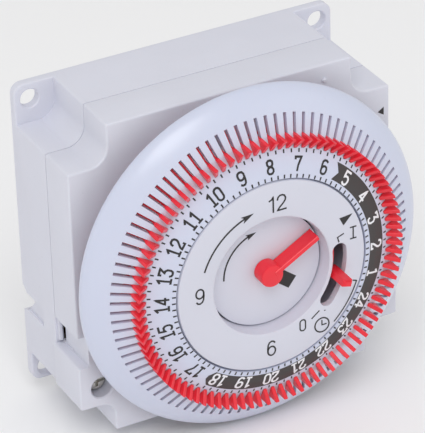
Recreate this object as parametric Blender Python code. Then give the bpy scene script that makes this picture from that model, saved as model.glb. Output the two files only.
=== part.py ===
# 24 hour mechanical heating timer, panel module 72 mm wide.
# Frame: X to the right, Z up, the front faces -Y.  The origin is on the dial axis,
# in the rear mounting plane.  Lengths are millimetres; meshes are metres.
# Clock angles are degrees from +Z towards +X, clockwise as seen from the front.
import math
from collections import namedtuple

import bmesh
import bpy
import numpy as np
from mathutils import Vector

MM = 0.001
SIDES = (-1, 1)         # left, right

# ---------------------------------------------------------------- case
HALF_W = 36.0           # half width
Z_TOP = 34.5
Z_BOT = -34.5
Y_SEAM = -15.2          # front edge of the rear case
GAP = 0.15              # working gap at faces that meet
Y_FRONT_REAR = Y_SEAM - GAP     # rear edge of the front case
Y_FRONT = -25.3         # front face of the front case
WALL = 1.8
FACE_T = 2.0            # front wall of the front case
BACK_T = 2.0            # back wall and ears
NOTCH_TOP = 8.7         # square size of the notch at each top corner
NOTCH_TOP_R = 4.0       # its inner radius
NOTCH_BOT = 6.9         # the same at each bottom corner
NOTCH_BOT_R = 3.3
Y_PAD = -27.0           # raised lower part of the front face
Z_PAD = -11.7
OUTSIDE_X = 37.0        # cutters for the side walls run out to here
EAR_R = 2.2             # outer corner radius of an ear
EAR_HOLE_R = 2.0
EAR_HOLE_X = 32.6
EAR_HOLE_Z = (31.0, -31.6)

TERMINAL_X = 31.8       # terminal screw axes
TERMINAL_Z = -23.3
TERMINAL_WELL_R = 2.35
TERMINAL_BLOCK_TOP = -17.65

# ---------------------------------------------------------------- dial and plate
DIAL_BORE_R = 20.95     # bore for the dial sleeve in the front case
COLLAR_R = 22.6         # bearing collar on the front case
COLLAR_INNER_R = 19.0   # before boring
COLLAR_Y = -30.0
SLEEVE_OUTER_R = 20.7
SLEEVE_INNER_R = 18.9
SLEEVE_REAR = -21.9
SLEEVE_SHOULDER = -38.9     # step between sleeve and dial face
GROOVE_R = 20.1         # clip groove in the sleeve
GROOVE_Y = (-23.15, -22.35)
DIAL_R = 37.8           # rim of the 24 hour dial
DIAL_INNER_R = 21.4     # inner edge of the dial face
# domed face of the dial: radius, y
DOME = [(21.2, -40.7), (24.0, -40.1), (27.0, -39.0), (33.5, -36.0), (35.5, -34.6)]
DIAL_T = 1.2
DIAL_UNDER_R = 25.6     # the underside is flat inside this radius
SLOTS = 96              # one per quarter of an hour
SLOT_R0 = 27.05
SLOT_R1 = 33.45
SLOT_W = 0.72
SLOT_PITCH = 360.0 / SLOTS
DIAL_ZERO = 121.0       # clock angle of the 24 o'clock mark at rest

LOOSE_TRIPPERS = (3, 16, 20, 32, 36, 80)    # slot numbers of the separate trippers
FIN_T = 0.42
COMB_R = (25.2, 26.6)   # ring that carries the other trippers
COMB_Y = (-36.9, -36.0)

PLATE_R = 21.0          # fixed centre plate
PLATE_Y = -40.8
PLATE_T = 1.5
PLATE_BEVEL = 0.25
POST_ANGLES = (22.0, 175.0, 335.0)
POST_DIST = 16.2
POST_R = 0.9
DISH_R = 13.1           # lip of the sunken well for the hour disc
DISH_OUTER_R = 13.5
DISH_REAR = -36.4
HOUR_R = 12.45
HOUR_Y = -37.6
SWITCH_SLOT_R = 15.3    # curved slot for the manual lever
SWITCH_SLOT_HALF_W = 1.6
SWITCH_SLOT_ANGLES = (85.0, 126.6)
LEVER_ANGLE = 105.7     # rest position of the manual lever (automatic)
MINUTE_ANGLE = 61.0


def clock(angle, radius, centre=(0.0, 0.0)):
    """x, z of the point at a clock angle and radius about centre."""
    a = math.radians(angle)
    return (centre[0] + radius * math.sin(a), centre[1] + radius * math.cos(a))


def bearing(start, end):
    """Clock angle of the direction from start to end."""
    return math.degrees(math.atan2(end[0] - start[0], end[1] - start[1]))


# ---------------------------------------------------------------- gears
# motion work, which links the hands and the dial
MINUTE_TEETH = 30
CANNON_TEETH = 10
MINUTE_PINION_TEETH = 9
HOUR_TEETH = 36
DRIVE_TEETH = 30
DRIVE_PINION_TEETH = 25
RING_TEETH = 60
MINUTE_DIST = 9.6       # minute wheel to the dial axis
CANNON_MODULE = 2 * MINUTE_DIST / (MINUTE_TEETH + CANNON_TEETH)
HOUR_MODULE = 2 * MINUTE_DIST / (HOUR_TEETH + MINUTE_PINION_TEETH)
RING_MODULE = 0.6
MINUTE_WHEEL_ANGLE = 300.0
DRIVE_ANGLE = MINUTE_WHEEL_ANGLE - 48.652
MINUTE_AXIS = clock(MINUTE_WHEEL_ANGLE, MINUTE_DIST)
DRIVE_AXIS = clock(DRIVE_ANGLE, RING_MODULE * (RING_TEETH - DRIVE_PINION_TEETH) / 2)

# going train, from the motor to the clutch wheel
TRAIN_MODULE = 0.375
TRAIN_PINION_TEETH = 8
INTER_TEETH = 40
CLUTCH_TEETH = 48
INTER_AXIS = (-5.25, 9.093)
MOTOR_PINION_AXIS = (-13.044, 13.593)

# tooth form; heights in modules, widths in half tooth thicknesses
TOOTH_THIN = 0.84       # usual tooth thickness, as a share of half the pitch
PINION_THIN = 0.80
ADDENDUM = 0.9
DEDENDUM = 1.2
RING_DEDENDUM = 1.0
TIP_WIDTH = 0.5
ROOT_WIDTH = 1.55
RING_ROOT_WIDTH = 1.5
GEAR_SHADE = 30.0       # smoothing angle of gears

# ---------------------------------------------------------------- movement and switch
MOTOR = (-9.0, 10.0)
MOTOR_R = 12.5
MOTOR_WALL = 0.7
MOTOR_REAR = -2.5
MOTOR_FRONT = -11.0
STANDOFFS = [(-22.5, -13.0), (-22.5, 22.0), (8.0, -13.0), (8.0, 22.0)]   # x, z
REAR_PLATE_Y = (-13.0, -12.2)
FRONT_PLATE_Y = (-21.0, -20.2)
PILLAR_Y = (-20.1, -13.1)

FOLLOWER_AXIS = (26.5, -2.0)
FOLLOWER_NOSE = clock(64.0, 32.9)

TAB_X = (11.0, 16.0, 21.0)      # push-on tabs through the bottom wall
TAB_BOTTOM = -34.2
BLADE_T = 0.5
BLADE_Y = (-13.0, -6.0)
CONTACT_Y = -9.5
CONTACT_R = 1.1

# ---------------------------------------------------------------- materials
Surface = namedtuple("Surface", "rgb roughness metallic", defaults=(0.0,))

RED = (0.85, 0.04, 0.07)
BRASS = (0.72, 0.52, 0.22)
STEEL = (0.55, 0.56, 0.58)
BLACK = (0.03, 0.03, 0.035)

SHELL_PLASTIC = Surface((0.68, 0.69, 0.78), roughness=0.45)
DIAL_PLASTIC = Surface((0.72, 0.76, 0.88), roughness=0.38)
PLATE_PLASTIC = Surface((0.71, 0.72, 0.80), roughness=0.4)
TRIPPER_RED = Surface(RED, roughness=0.4)
CONTROL_RED = Surface(RED, roughness=0.35)
NYLON = Surface((0.80, 0.79, 0.74), roughness=0.5)
BLACK_PLASTIC = Surface(BLACK, roughness=0.5)
SWITCH_PLASTIC = Surface(BLACK, roughness=0.55)
ROTOR_BLACK = Surface(BLACK, roughness=0.5, metallic=0.2)
FRAME_BRASS = Surface(BRASS, roughness=0.35, metallic=0.9)
CONTACT_BRASS = Surface(BRASS, roughness=0.3, metallic=1.0)
FRAME_STEEL = Surface(STEEL, roughness=0.35, metallic=0.9)
MOTOR_STEEL = Surface(STEEL, roughness=0.4, metallic=0.9)
BRIGHT_STEEL = Surface(STEEL, roughness=0.3, metallic=1.0)
COPPER = Surface((0.62, 0.28, 0.14), roughness=0.35, metallic=0.8)
BROWN_WIRE = Surface((0.25, 0.10, 0.04), roughness=0.5)
BLUE_WIRE = Surface((0.05, 0.15, 0.45), roughness=0.5)


def material(name, surface):
    mat = bpy.data.materials.new(name)
    mat.use_nodes = True
    shader = mat.node_tree.nodes["Principled BSDF"]
    shader.inputs["Base Color"].default_value = (*surface.rgb, 1.0)
    shader.inputs["Roughness"].default_value = surface.roughness
    shader.inputs["Metallic"].default_value = surface.metallic
    mat.diffuse_color = (*surface.rgb, 1.0)
    return mat


# ---------------------------------------------------------------- building solids
def shade(part, angle=35.0):
    """Smooth shading with edges sharper than angle kept sharp."""
    part.data.shade_smooth()
    part.data.set_sharp_from_angle(angle=math.radians(angle))


def solid(name, surface, draw, *args, origin=(0, 0, 0), angle=35.0, **shape):
    """New object; draw(bm, *args, **shape) adds its geometry in the timer's frame."""
    bm = bmesh.new()
    draw(bm, *args, **shape)
    bmesh.ops.remove_doubles(bm, verts=bm.verts, dist=1e-6)
    bmesh.ops.recalc_face_normals(bm, faces=bm.faces)
    offset = Vector(origin) * MM
    bmesh.ops.translate(bm, verts=bm.verts, vec=-offset)
    mesh = bpy.data.meshes.new(name)
    bm.to_mesh(mesh)
    bm.free()
    part = bpy.data.objects.new(name, mesh)
    part.location = offset
    bpy.context.scene.collection.objects.link(part)
    if surface:
        mesh.materials.append(material(name + "_mat", surface))
    if angle:
        shade(part, angle)
    return part


def combine(part, operation, draw, *args, **shape):
    """Apply a boolean with a drawn tool; the part keeps its own material."""
    tool = solid("cutter", None, draw, *args, angle=None, **shape)
    modifier = part.modifiers.new("bool", 'BOOLEAN')
    modifier.operation = operation
    modifier.solver = 'EXACT'
    modifier.object = tool
    bpy.context.view_layer.update()
    depsgraph = bpy.context.evaluated_depsgraph_get()
    mesh = bpy.data.meshes.new_from_object(part.evaluated_get(depsgraph))
    part.modifiers.clear()
    old = part.data
    materials = list(old.materials)
    part.data = mesh
    mesh.name = part.name
    mesh.materials.clear()
    for mat in materials:
        mesh.materials.append(mat)
    for polygon in mesh.polygons:
        polygon.material_index = 0
    bpy.data.meshes.remove(old)
    bpy.data.objects.remove(tool, do_unlink=True)


def cut(part, draw, *args, **shape):
    combine(part, 'DIFFERENCE', draw, *args, **shape)


def join(part, draw, *args, **shape):
    combine(part, 'UNION', draw, *args, **shape)


def loop_solid(bm, rings):
    """Closed solid through equal-length rings of 3-D points."""
    loops = [[bm.verts.new(Vector(p) * MM) for p in ring] for ring in rings]
    count = len(loops[0])
    for a, b in zip(loops[:-1], loops[1:]):
        for i in range(count):
            j = (i + 1) % count
            bm.faces.new((a[i], a[j], b[j], b[i]))
    bm.faces.new(list(reversed(loops[0])))
    bm.faces.new(loops[-1])


def prism_y(bm, outline, y0, y1):
    """Extrude an x, z outline from y0 to y1."""
    loop_solid(bm, [[(x, y, z) for x, z in outline] for y in (y0, y1)])


def prism_x(bm, outline, x):
    """Extrude a y, z outline over the span x."""
    loop_solid(bm, [[(end, y, z) for y, z in outline] for end in sorted(x)])


def box(bm, x, y, z):
    """Box over three spans; the x span may run either way."""
    x0, x1 = sorted(x)
    z0, z1 = z
    prism_y(bm, [(x0, z0), (x1, z0), (x1, z1), (x0, z1)], *y)


def revolve(bm, profile, segments, centre=(0.0, 0.0), phase=0.0):
    """Turn a closed radius, y profile about the Y direction through centre."""
    on_axis = {k: bm.verts.new(Vector((centre[0], y, centre[1])) * MM)
               for k, (r, y) in enumerate(profile) if r == 0.0}
    columns = []
    for i in range(segments):
        column = []
        for k, (r, y) in enumerate(profile):
            if k in on_axis:
                column.append(on_axis[k])
            else:
                x, z = clock(phase + 360.0 * i / segments, r, centre)
                column.append(bm.verts.new(Vector((x, y, z)) * MM))
        columns.append(column)
    for i, here in enumerate(columns):
        there = columns[(i + 1) % segments]
        for k in range(len(profile)):
            m = (k + 1) % len(profile)
            corners = list(dict.fromkeys((here[k], here[m], there[m], there[k])))
            if len(corners) > 2:
                bm.faces.new(corners)


def rod(bm, radius, y0, y1, segments, centre=(0.0, 0.0)):
    revolve(bm, [(0.0, y0), (radius, y0), (radius, y1), (0.0, y1)], segments, centre)


def radial_point(angle, radius, sideways, y):
    """Point at a radius along a clock angle, shifted sideways (clockwise)."""
    a = math.radians(angle)
    s, c = math.sin(a), math.cos(a)
    return (radius * s + sideways * c, y, radius * c - sideways * s)


def radial_bar(bm, angle, sections):
    """Bar lying along a clock angle; sections are y, half width, inner and outer radius."""
    loop_solid(bm, [[radial_point(angle, r, w, y)
                     for r, w in ((r0, -half), (r1, -half), (r1, half), (r0, half))]
                    for y, half, r0, r1 in sections])


# ---------------------------------------------------------------- outlines
def arc(radius, start, end, steps, centre=(0.0, 0.0)):
    """Points from clock angle start to end, both ends included."""
    return [clock(start + (end - start) * i / steps, radius, centre)
            for i in range(steps + 1)]


def circle(centre, radius, segments):
    return [clock(90.0 - 360.0 * i / segments, radius, centre) for i in range(segments)]


def rounded_rect(x0, x1, z0, z1, radius, steps=4):
    points = []
    for x, z, start in ((x1 - radius, z1 - radius, 90), (x0 + radius, z1 - radius, 0),
                        (x0 + radius, z0 + radius, -90), (x1 - radius, z0 + radius, -180)):
        points += arc(radius, start, start - 90, steps, (x, z))
    return points


def case_outline(inset=0.0, steps=6):
    """Case outline with a notch at each corner, clockwise from the front, from top left."""
    side, top, bottom = HALF_W - inset, Z_TOP - inset, Z_BOT + inset
    top_x, top_z = side - NOTCH_TOP, top - NOTCH_TOP
    bottom_x, bottom_z = side - NOTCH_BOT, bottom + NOTCH_BOT
    top_r, bottom_r = NOTCH_TOP_R + inset, NOTCH_BOT_R + inset
    right = [(top_x, top),
             *arc(top_r, 270, 180, steps, (top_x + top_r, top_z + top_r)),
             (side, top_z),
             (side, bottom_z),
             *arc(bottom_r, 0, -90, steps, (bottom_x + bottom_r, bottom_z - bottom_r)),
             (bottom_x, bottom)]
    left = [(-x, z) for x, z in reversed(right)]
    return left[-1:] + right + left[:-1]


def arc_slot(radius, half_w, start, end, steps=10, end_steps=5):
    """Round-ended slot along an arc about the dial axis."""
    return (arc(radius + half_w, start, end, steps)
            + arc(half_w, end, end + 180, end_steps, clock(end, radius))[1:-1]
            + arc(radius - half_w, end, start, steps)
            + arc(half_w, start + 180, start + 360, end_steps, clock(start, radius))[1:-1])


def teeth_outline(teeth, module, phase, centre, thin, root_r, tip_r, root_width):
    """Straight-flanked teeth; phase is the clock angle of one tooth centre."""
    half = math.pi * module / 2.0 * thin / 2.0
    corners = ((root_r, -half * root_width), (tip_r, -half * TIP_WIDTH),
               (tip_r, half * TIP_WIDTH), (root_r, half * root_width))
    return [clock(phase + 360.0 * i / teeth + math.degrees(w / r), r, centre)
            for i in range(teeth) for r, w in corners]


def gear(teeth, module, phase, centre=(0.0, 0.0), thin=TOOTH_THIN):
    """Outline of an external gear."""
    pitch_r = module * teeth / 2.0
    return teeth_outline(teeth, module, phase, centre, thin, pitch_r - DEDENDUM * module,
                         pitch_r + ADDENDUM * module, ROOT_WIDTH)


def ring_gear_hole(teeth, module, phase):
    """Outline of the hole inside an internal gear."""
    pitch_r = module * teeth / 2.0
    return teeth_outline(teeth, module, phase, (0.0, 0.0), TOOTH_THIN,
                         pitch_r + RING_DEDENDUM * module,
                         pitch_r - ADDENDUM * module, RING_ROOT_WIDTH)


def strip_outline(path, thickness):
    """Outline of a strip bent along a path of x, z points."""
    left, right = [], []
    for i, (x, z) in enumerate(path):
        before = Vector(path[max(i - 1, 0)])
        after = Vector(path[min(i + 1, len(path) - 1)])
        along = (after - before).normalized() * thickness / 2
        left.append((x - along.y, z + along.x))
        right.append((x + along.y, z - along.x))
    return left + right[::-1]


# ---------------------------------------------------------------- shared part types
def pierced(name, surface, outline, y0, y1, holes, angle=35.0):
    """Flat part with holes right through it."""
    part = solid(name, surface, prism_y, outline, y0, y1)
    for hole in holes:
        cut(part, prism_y, hole, y0 - 1, y1 + 1)
    shade(part, angle)


def geared_arbor(name, surface, axis, origin_y, gears, spindle):
    """Gears (outline, y0, y1) joined to a spindle (radius, y0, y1)."""
    part = solid(name, surface, prism_y, *gears[0], origin=(axis[0], origin_y, axis[1]))
    for other in gears[1:]:
        join(part, prism_y, *other)
    join(part, rod, *spindle, 12, axis)
    shade(part, GEAR_SHADE)


# ---------------------------------------------------------------- case
def make_rear_case():
    case = solid("rear_case", SHELL_PLASTIC, prism_y,
                 rounded_rect(-HALF_W, HALF_W, Z_BOT, Z_TOP, EAR_R), -BACK_T, 0.0)
    join(case, prism_y, case_outline(), Y_SEAM, -1.0)
    cut(case, prism_y, case_outline(WALL, 4), Y_SEAM - 1.0, -BACK_T)
    for centre in STANDOFFS:
        join(case, prism_y, circle(centre, 2.2, 12), -12.05, -1.5)
    for side in SIDES:
        for z in EAR_HOLE_Z:
            cut(case, prism_y, circle((side * EAR_HOLE_X, z), EAR_HOLE_R, 20), -5.0, 1.0)
    # notches in the rear edge of the side walls, then shallow pockets in their outer
    # faces; points are y, z
    notch = [(1.0, -10.6), (-2.0, -13.0), (-5.6, -12.9), (-2.0, -16.9), (1.0, -18.3)]
    pocket = [(-5.0, -13.1), (-9.5, -13.1), (-9.5, -17.0), (-1.9, -17.0)]
    for outline, inner_x in ((notch, 33.0), (pocket, 35.4)):
        for side in SIDES:
            cut(case, prism_x, outline, x=(side * OUTSIDE_X, side * inner_x))
    # snap tongues that reach into the windows of the front case
    for side in SIDES:
        join(case, box, x=(side * 35.5, side * 34.9), y=(-16.2, -14.0), z=(-16.9, -11.9))
    # windows for the push-on tabs in the bottom wall
    half_window = 1.2
    for x in TAB_X:
        cut(case, box, x=(x - half_window, x + half_window), y=(-13.6, -5.4), z=(-37.0, -32.0))
    # wire entries below the two clamps
    for side in SIDES:
        cut(case, box, x=(side * 33.4, side * 28.8), y=(-14.6, -9.6), z=(-28.5, -24.5))
    shade(case)


def make_front_case():
    case = solid("front_case", SHELL_PLASTIC, prism_y, case_outline(), Y_FRONT, Y_FRONT_REAR)
    cut(case, prism_y, case_outline(WALL, 4), Y_FRONT + FACE_T, Y_FRONT_REAR + 1.0)
    pad = [point for point in case_outline() if point[1] < Z_PAD]
    pad += [(-HALF_W, Z_PAD), (HALF_W, Z_PAD)]
    inside_face = Y_FRONT + 0.5     # joined blocks start here, within the front wall
    join(case, prism_y, pad, Y_PAD, inside_face)
    for side in SIDES:
        wall_x = (side * 34.6, side * 32.6)
        # the side is set back above the terminal block; the wall behind is thicker
        join(case, box, x=wall_x, y=(inside_face, -16.6), z=(-19.0, -10.0))
        cut(case, box, x=(side * 34.4, side * OUTSIDE_X), y=(-28.0, -14.0),
            z=(TERMINAL_BLOCK_TOP, -11.5))
        join(case, box, x=wall_x, y=(-20.2, Y_FRONT_REAR), z=(-19.6, -17.3))
        # the terminal block stands a little proud of the side
        join(case, box, x=(side * 34.3, side * 36.7), y=(Y_PAD + 0.05, Y_FRONT_REAR - 0.05),
             z=(-27.55, TERMINAL_BLOCK_TOP))
    # blocks around the terminal wells
    for side in SIDES:
        join(case, box, x=(side * 34.6, side * 26.6), y=(inside_face, Y_FRONT_REAR),
             z=(-26.6, -19.4))
    # bearing collar for the dial
    collar_rear = Y_FRONT + 0.4
    join(case, revolve, [(COLLAR_INNER_R, collar_rear), (COLLAR_R, collar_rear),
                         (COLLAR_R, COLLAR_Y), (COLLAR_INNER_R, COLLAR_Y)], 64)
    cut(case, prism_y, circle((0, 0), DIAL_BORE_R, 64), -32.0, -20.0)
    # snap windows
    for side in SIDES:
        cut(case, box, x=(side * OUTSIDE_X, side * 31.9), y=(-16.6, Y_FRONT_REAR + 1.0),
            z=(-17.2, -11.6))
    # terminal wells, each with a pocket for the clamp behind
    for side in SIDES:
        well = circle((side * TERMINAL_X, TERMINAL_Z), TERMINAL_WELL_R, 24)
        cut(case, prism_y, well, -28.0, -17.4)
        cut(case, box, x=(side * 34.2, side * 28.9), y=(-18.4, Y_FRONT_REAR + 1.0),
            z=(-25.8, -20.9))
    # small triangular pocket beside the dial
    cut(case, prism_y, [(-34.4, -11.3), (-31.6, -11.3), (-34.4, -8.9)], -27.0, -24.1)
    # opening for the follower nose under the dial
    cut(case, prism_y, circle((29.6, 14.5), 2.2, 16), -27.0, -22.0)
    shade(case)


def make_centre_plate():
    plate_rear = PLATE_Y + PLATE_T
    profile = [(PLATE_R - PLATE_BEVEL, PLATE_Y), (PLATE_R, PLATE_Y + PLATE_BEVEL),
               (PLATE_R, plate_rear), (DISH_OUTER_R, plate_rear),
               (DISH_OUTER_R, DISH_REAR), (12.68, DISH_REAR), (DISH_R, PLATE_Y)]
    plate = solid("centre_plate", PLATE_PLASTIC, revolve, profile, 56)
    for angle in POST_ANGLES:
        join(plate, prism_y, circle(clock(angle, POST_DIST), POST_R, 10),
             PLATE_Y + 1.0, FRONT_PLATE_Y[0] - GAP)
    slot = arc_slot(SWITCH_SLOT_R, SWITCH_SLOT_HALF_W, *SWITCH_SLOT_ANGLES)
    cut(plate, prism_y, slot, -42.0, -39.0)
    shade(plate)


# ---------------------------------------------------------------- dial
def dome_y(radius):
    """Level of the dial's front face."""
    return float(np.interp(radius, *zip(*DOME)))


def slot_angle(slot):
    return DIAL_ZERO - SLOT_PITCH * slot - SLOT_PITCH / 2


def slot_cutters(bm):
    for slot in range(SLOTS):
        radial_bar(bm, slot_angle(slot),
                   [(y, SLOT_W / 2, SLOT_R0, SLOT_R1) for y in (-41.0, -33.2)])


def make_dial_ring():
    under = [(r, dome_y(r) + DIAL_T) for r in (34.7, 33.5, 27.0, DIAL_UNDER_R)]
    profile = [(DIAL_INNER_R, dome_y(DIAL_INNER_R)), *DOME[1:],
               # rim
               (37.1, -33.1), (DIAL_R, -31.9), (DIAL_R, -30.9), (36.9, -30.9), (36.3, -32.2),
               *under,
               # outside of the sleeve with its clip groove
               (SLEEVE_OUTER_R, under[-1][1]), (SLEEVE_OUTER_R, GROOVE_Y[0]),
               (GROOVE_R, GROOVE_Y[0]), (GROOVE_R, GROOVE_Y[1]),
               (SLEEVE_OUTER_R, GROOVE_Y[1]), (SLEEVE_OUTER_R, SLEEVE_REAR),
               # inside of the sleeve
               (SLEEVE_INNER_R, SLEEVE_REAR), (SLEEVE_INNER_R, SLEEVE_SHOULDER),
               (DIAL_INNER_R, SLEEVE_SHOULDER)]
    dial = solid("dial_ring", DIAL_PLASTIC, revolve, profile, 96, phase=1.0)
    cut(dial, slot_cutters)
    shade(dial)


def make_dial_ring_gear():
    """Internal gear in the sleeve; a space meets the drive pinion's tooth."""
    hole = ring_gear_hole(RING_TEETH, RING_MODULE, DRIVE_ANGLE + 180.0 / RING_TEETH)
    pierced("dial_ring_gear", NYLON, circle((0, 0), 18.82, 80), -28.8, -27.0, [hole],
            GEAR_SHADE)


def make_dial_clip():
    """Retaining clip in the sleeve groove, open at the bottom."""
    half_angle = 165
    outline = arc(22.3, -half_angle, half_angle, 28) + arc(20.3, half_angle, -half_angle, 28)
    solid("dial_clip", FRAME_STEEL, prism_y, outline, -23.05, -22.45)


# ---------------------------------------------------------------- trippers
def fin(bm, slot, tail):
    """Tripper fin in a slot; tail is the radius, y outline behind the shared front edge."""
    profile = [(27.15, dome_y(27.15) - 0.1), (29.7, -41.1), (29.75, -41.0), *tail]
    loop_solid(bm, [[radial_point(slot_angle(slot), r, w, y) for r, y in profile]
                    for w in (-FIN_T / 2, FIN_T / 2)])


def comb_fins(bm):
    tail = [(29.75, dome_y(29.75) + DIAL_T + 0.2), (33.2, dome_y(33.2) + DIAL_T + 0.2),
            (33.2, -34.2), (28.3, -33.3), (28.3, -36.2), (26.0, -36.2), (26.0, -36.7),
            (27.15, -37.4)]
    for slot in range(SLOTS):
        if slot not in LOOSE_TRIPPERS:
            fin(bm, slot, tail)


def make_trippers():
    r0, r1 = COMB_R
    y0, y1 = COMB_Y
    comb = solid("tripper_set", TRIPPER_RED, revolve, [(r0, y0), (r1, y0), (r1, y1), (r0, y1)],
                 SLOTS, phase=DIAL_ZERO)
    join(comb, comb_fins)
    shade(comb, 25)

    tail = [(29.65, -33.3), (28.3, -33.3), (28.3, -36.3), (27.25, -36.6)]
    for slot in LOOSE_TRIPPERS:
        hours, quarters = divmod(slot, 4)
        x, z = clock(slot_angle(slot), 28.4)
        solid(f"tripper_{hours:02d}{quarters * 15:02d}", TRIPPER_RED, fin, slot, tail,
              origin=(x, -38.0, z), angle=25)


# ---------------------------------------------------------------- hands
def make_hour_hand():
    """Hour disc on its pipe, and the wheel on the pipe."""
    pipe_r, pipe_bore_r, pipe_rear = 2.1, 1.25, -23.2
    profile = [(HOUR_R, HOUR_Y), (HOUR_R, HOUR_Y + 1.0), (pipe_r, HOUR_Y + 1.0),
               (pipe_r, pipe_rear), (pipe_bore_r, pipe_rear), (pipe_bore_r, HOUR_Y)]
    solid("hour_disc", PLATE_PLASTIC, revolve, profile, 56)
    pierced("hour_wheel", NYLON, gear(HOUR_TEETH, HOUR_MODULE, MINUTE_WHEEL_ANGLE),
            -24.6, -23.3, [circle((0, 0), 2.2, 24)], GEAR_SHADE)


def make_minute_hand():
    """Round hub and one raised bar."""
    hub = [(0.0, -40.9), (2.2, -40.9), (2.45, -40.65), (2.45, -37.75), (1.05, -37.75),
           (1.05, -39.3), (0.0, -39.3)]
    hand = solid("minute_hand", CONTROL_RED, revolve, hub, 24)
    join(hand, radial_bar, MINUTE_ANGLE,
         [(-37.8, 0.55, 1.4, 11.95), (-40.95, 0.50, 1.4, 11.95), (-41.1, 0.38, 1.4, 11.8)])
    shade(hand)


def make_centre_arbor():
    solid("centre_arbor", BRIGHT_STEEL, rod, 0.85, -39.1, -12.0, 16)
    pierced("cannon_pinion", FRAME_BRASS,
            gear(CANNON_TEETH, CANNON_MODULE, MINUTE_WHEEL_ANGLE),
            -22.8, -21.4, [circle((0, 0), 1.0, 16)], GEAR_SHADE)


# ---------------------------------------------------------------- gear trains
def make_motion_work():
    # spaces of the minute wheel and its pinion face the teeth on the dial axis
    to_centre = bearing(MINUTE_AXIS, (0, 0))
    pinion_phase = to_centre + 180.0 / MINUTE_PINION_TEETH
    wheel = gear(MINUTE_TEETH, CANNON_MODULE, to_centre + 180.0 / MINUTE_TEETH, MINUTE_AXIS)
    pinion = gear(MINUTE_PINION_TEETH, HOUR_MODULE, pinion_phase, MINUTE_AXIS, PINION_THIN)
    geared_arbor("minute_wheel", NYLON, MINUTE_AXIS, -22.0,
                 [(wheel, -22.7, -21.5), (pinion, -26.1, -22.2)], (0.55, -26.1, -20.4))

    # the drive wheel turns so that a space meets the nearest leaf of the minute pinion
    leaf = 360.0 / MINUTE_PINION_TEETH
    to_drive = bearing(MINUTE_AXIS, DRIVE_AXIS)
    offset = (to_drive - pinion_phase + leaf / 2) % leaf - leaf / 2
    wheel_phase = (bearing(DRIVE_AXIS, MINUTE_AXIS) + 180.0 / DRIVE_TEETH
                   + offset * MINUTE_PINION_TEETH / DRIVE_TEETH)
    wheel = gear(DRIVE_TEETH, HOUR_MODULE, wheel_phase, DRIVE_AXIS, PINION_THIN)
    pinion = gear(DRIVE_PINION_TEETH, RING_MODULE, DRIVE_ANGLE, DRIVE_AXIS, PINION_THIN)
    geared_arbor("dial_drive_pinion", FRAME_BRASS, DRIVE_AXIS, -26.0,
                 [(wheel, -26.6, -25.2), (pinion, -28.7, -26.4)], (0.5, -29.1, -20.4))


def make_going_train():
    pinion = gear(TRAIN_PINION_TEETH, TRAIN_MODULE, bearing(MOTOR_PINION_AXIS, INTER_AXIS),
                  MOTOR_PINION_AXIS, PINION_THIN)
    geared_arbor("motor_pinion", FRAME_BRASS, MOTOR_PINION_AXIS, -14.5,
                 [(pinion, -15.6, -13.2)], (0.5, -20.8, -11.3))

    wheel = gear(INTER_TEETH, TRAIN_MODULE,
                 bearing(INTER_AXIS, MOTOR_PINION_AXIS) + 180.0 / INTER_TEETH, INTER_AXIS)
    pinion = gear(TRAIN_PINION_TEETH, TRAIN_MODULE, bearing(INTER_AXIS, (0, 0)),
                  INTER_AXIS, PINION_THIN)
    geared_arbor("intermediate_wheel", NYLON, INTER_AXIS, -16.0,
                 [(wheel, -15.2, -13.6), (pinion, -18.4, -14.5)], (0.45, -20.8, -12.4))

    wheel = gear(CLUTCH_TEETH, TRAIN_MODULE, bearing((0, 0), INTER_AXIS) + 180.0 / CLUTCH_TEETH)
    pierced("clutch_wheel", FRAME_BRASS, wheel, -18.2, -16.6, [circle((0, 0), 1.0, 16)],
            GEAR_SHADE)


# ---------------------------------------------------------------- movement frame
def make_movement_frame():
    outline = rounded_rect(-25.0, 10.4, -18.6, 24.4, 2.0, 2)
    # holes: axis, radius
    rear_holes = [((0, 0), 1.1), (MOTOR_PINION_AXIS, 2.4), (INTER_AXIS, 0.7)]
    front_holes = [((0, 0), 1.1), (MINUTE_AXIS, 0.8), (DRIVE_AXIS, 0.75), (INTER_AXIS, 0.7),
                   (MOTOR_PINION_AXIS, 0.75)]
    for end, span, holes in (("rear", REAR_PLATE_Y, rear_holes),
                             ("front", FRONT_PLATE_Y, front_holes)):
        pierced("movement_plate_" + end, FRAME_BRASS, outline, *span,
                [circle(axis, radius, 14) for axis, radius in holes])
    for number, centre in enumerate(STANDOFFS, 1):
        solid(f"pillar_{number}", FRAME_STEEL, prism_y, circle(centre, 1.6, 12), *PILLAR_Y)


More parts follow.
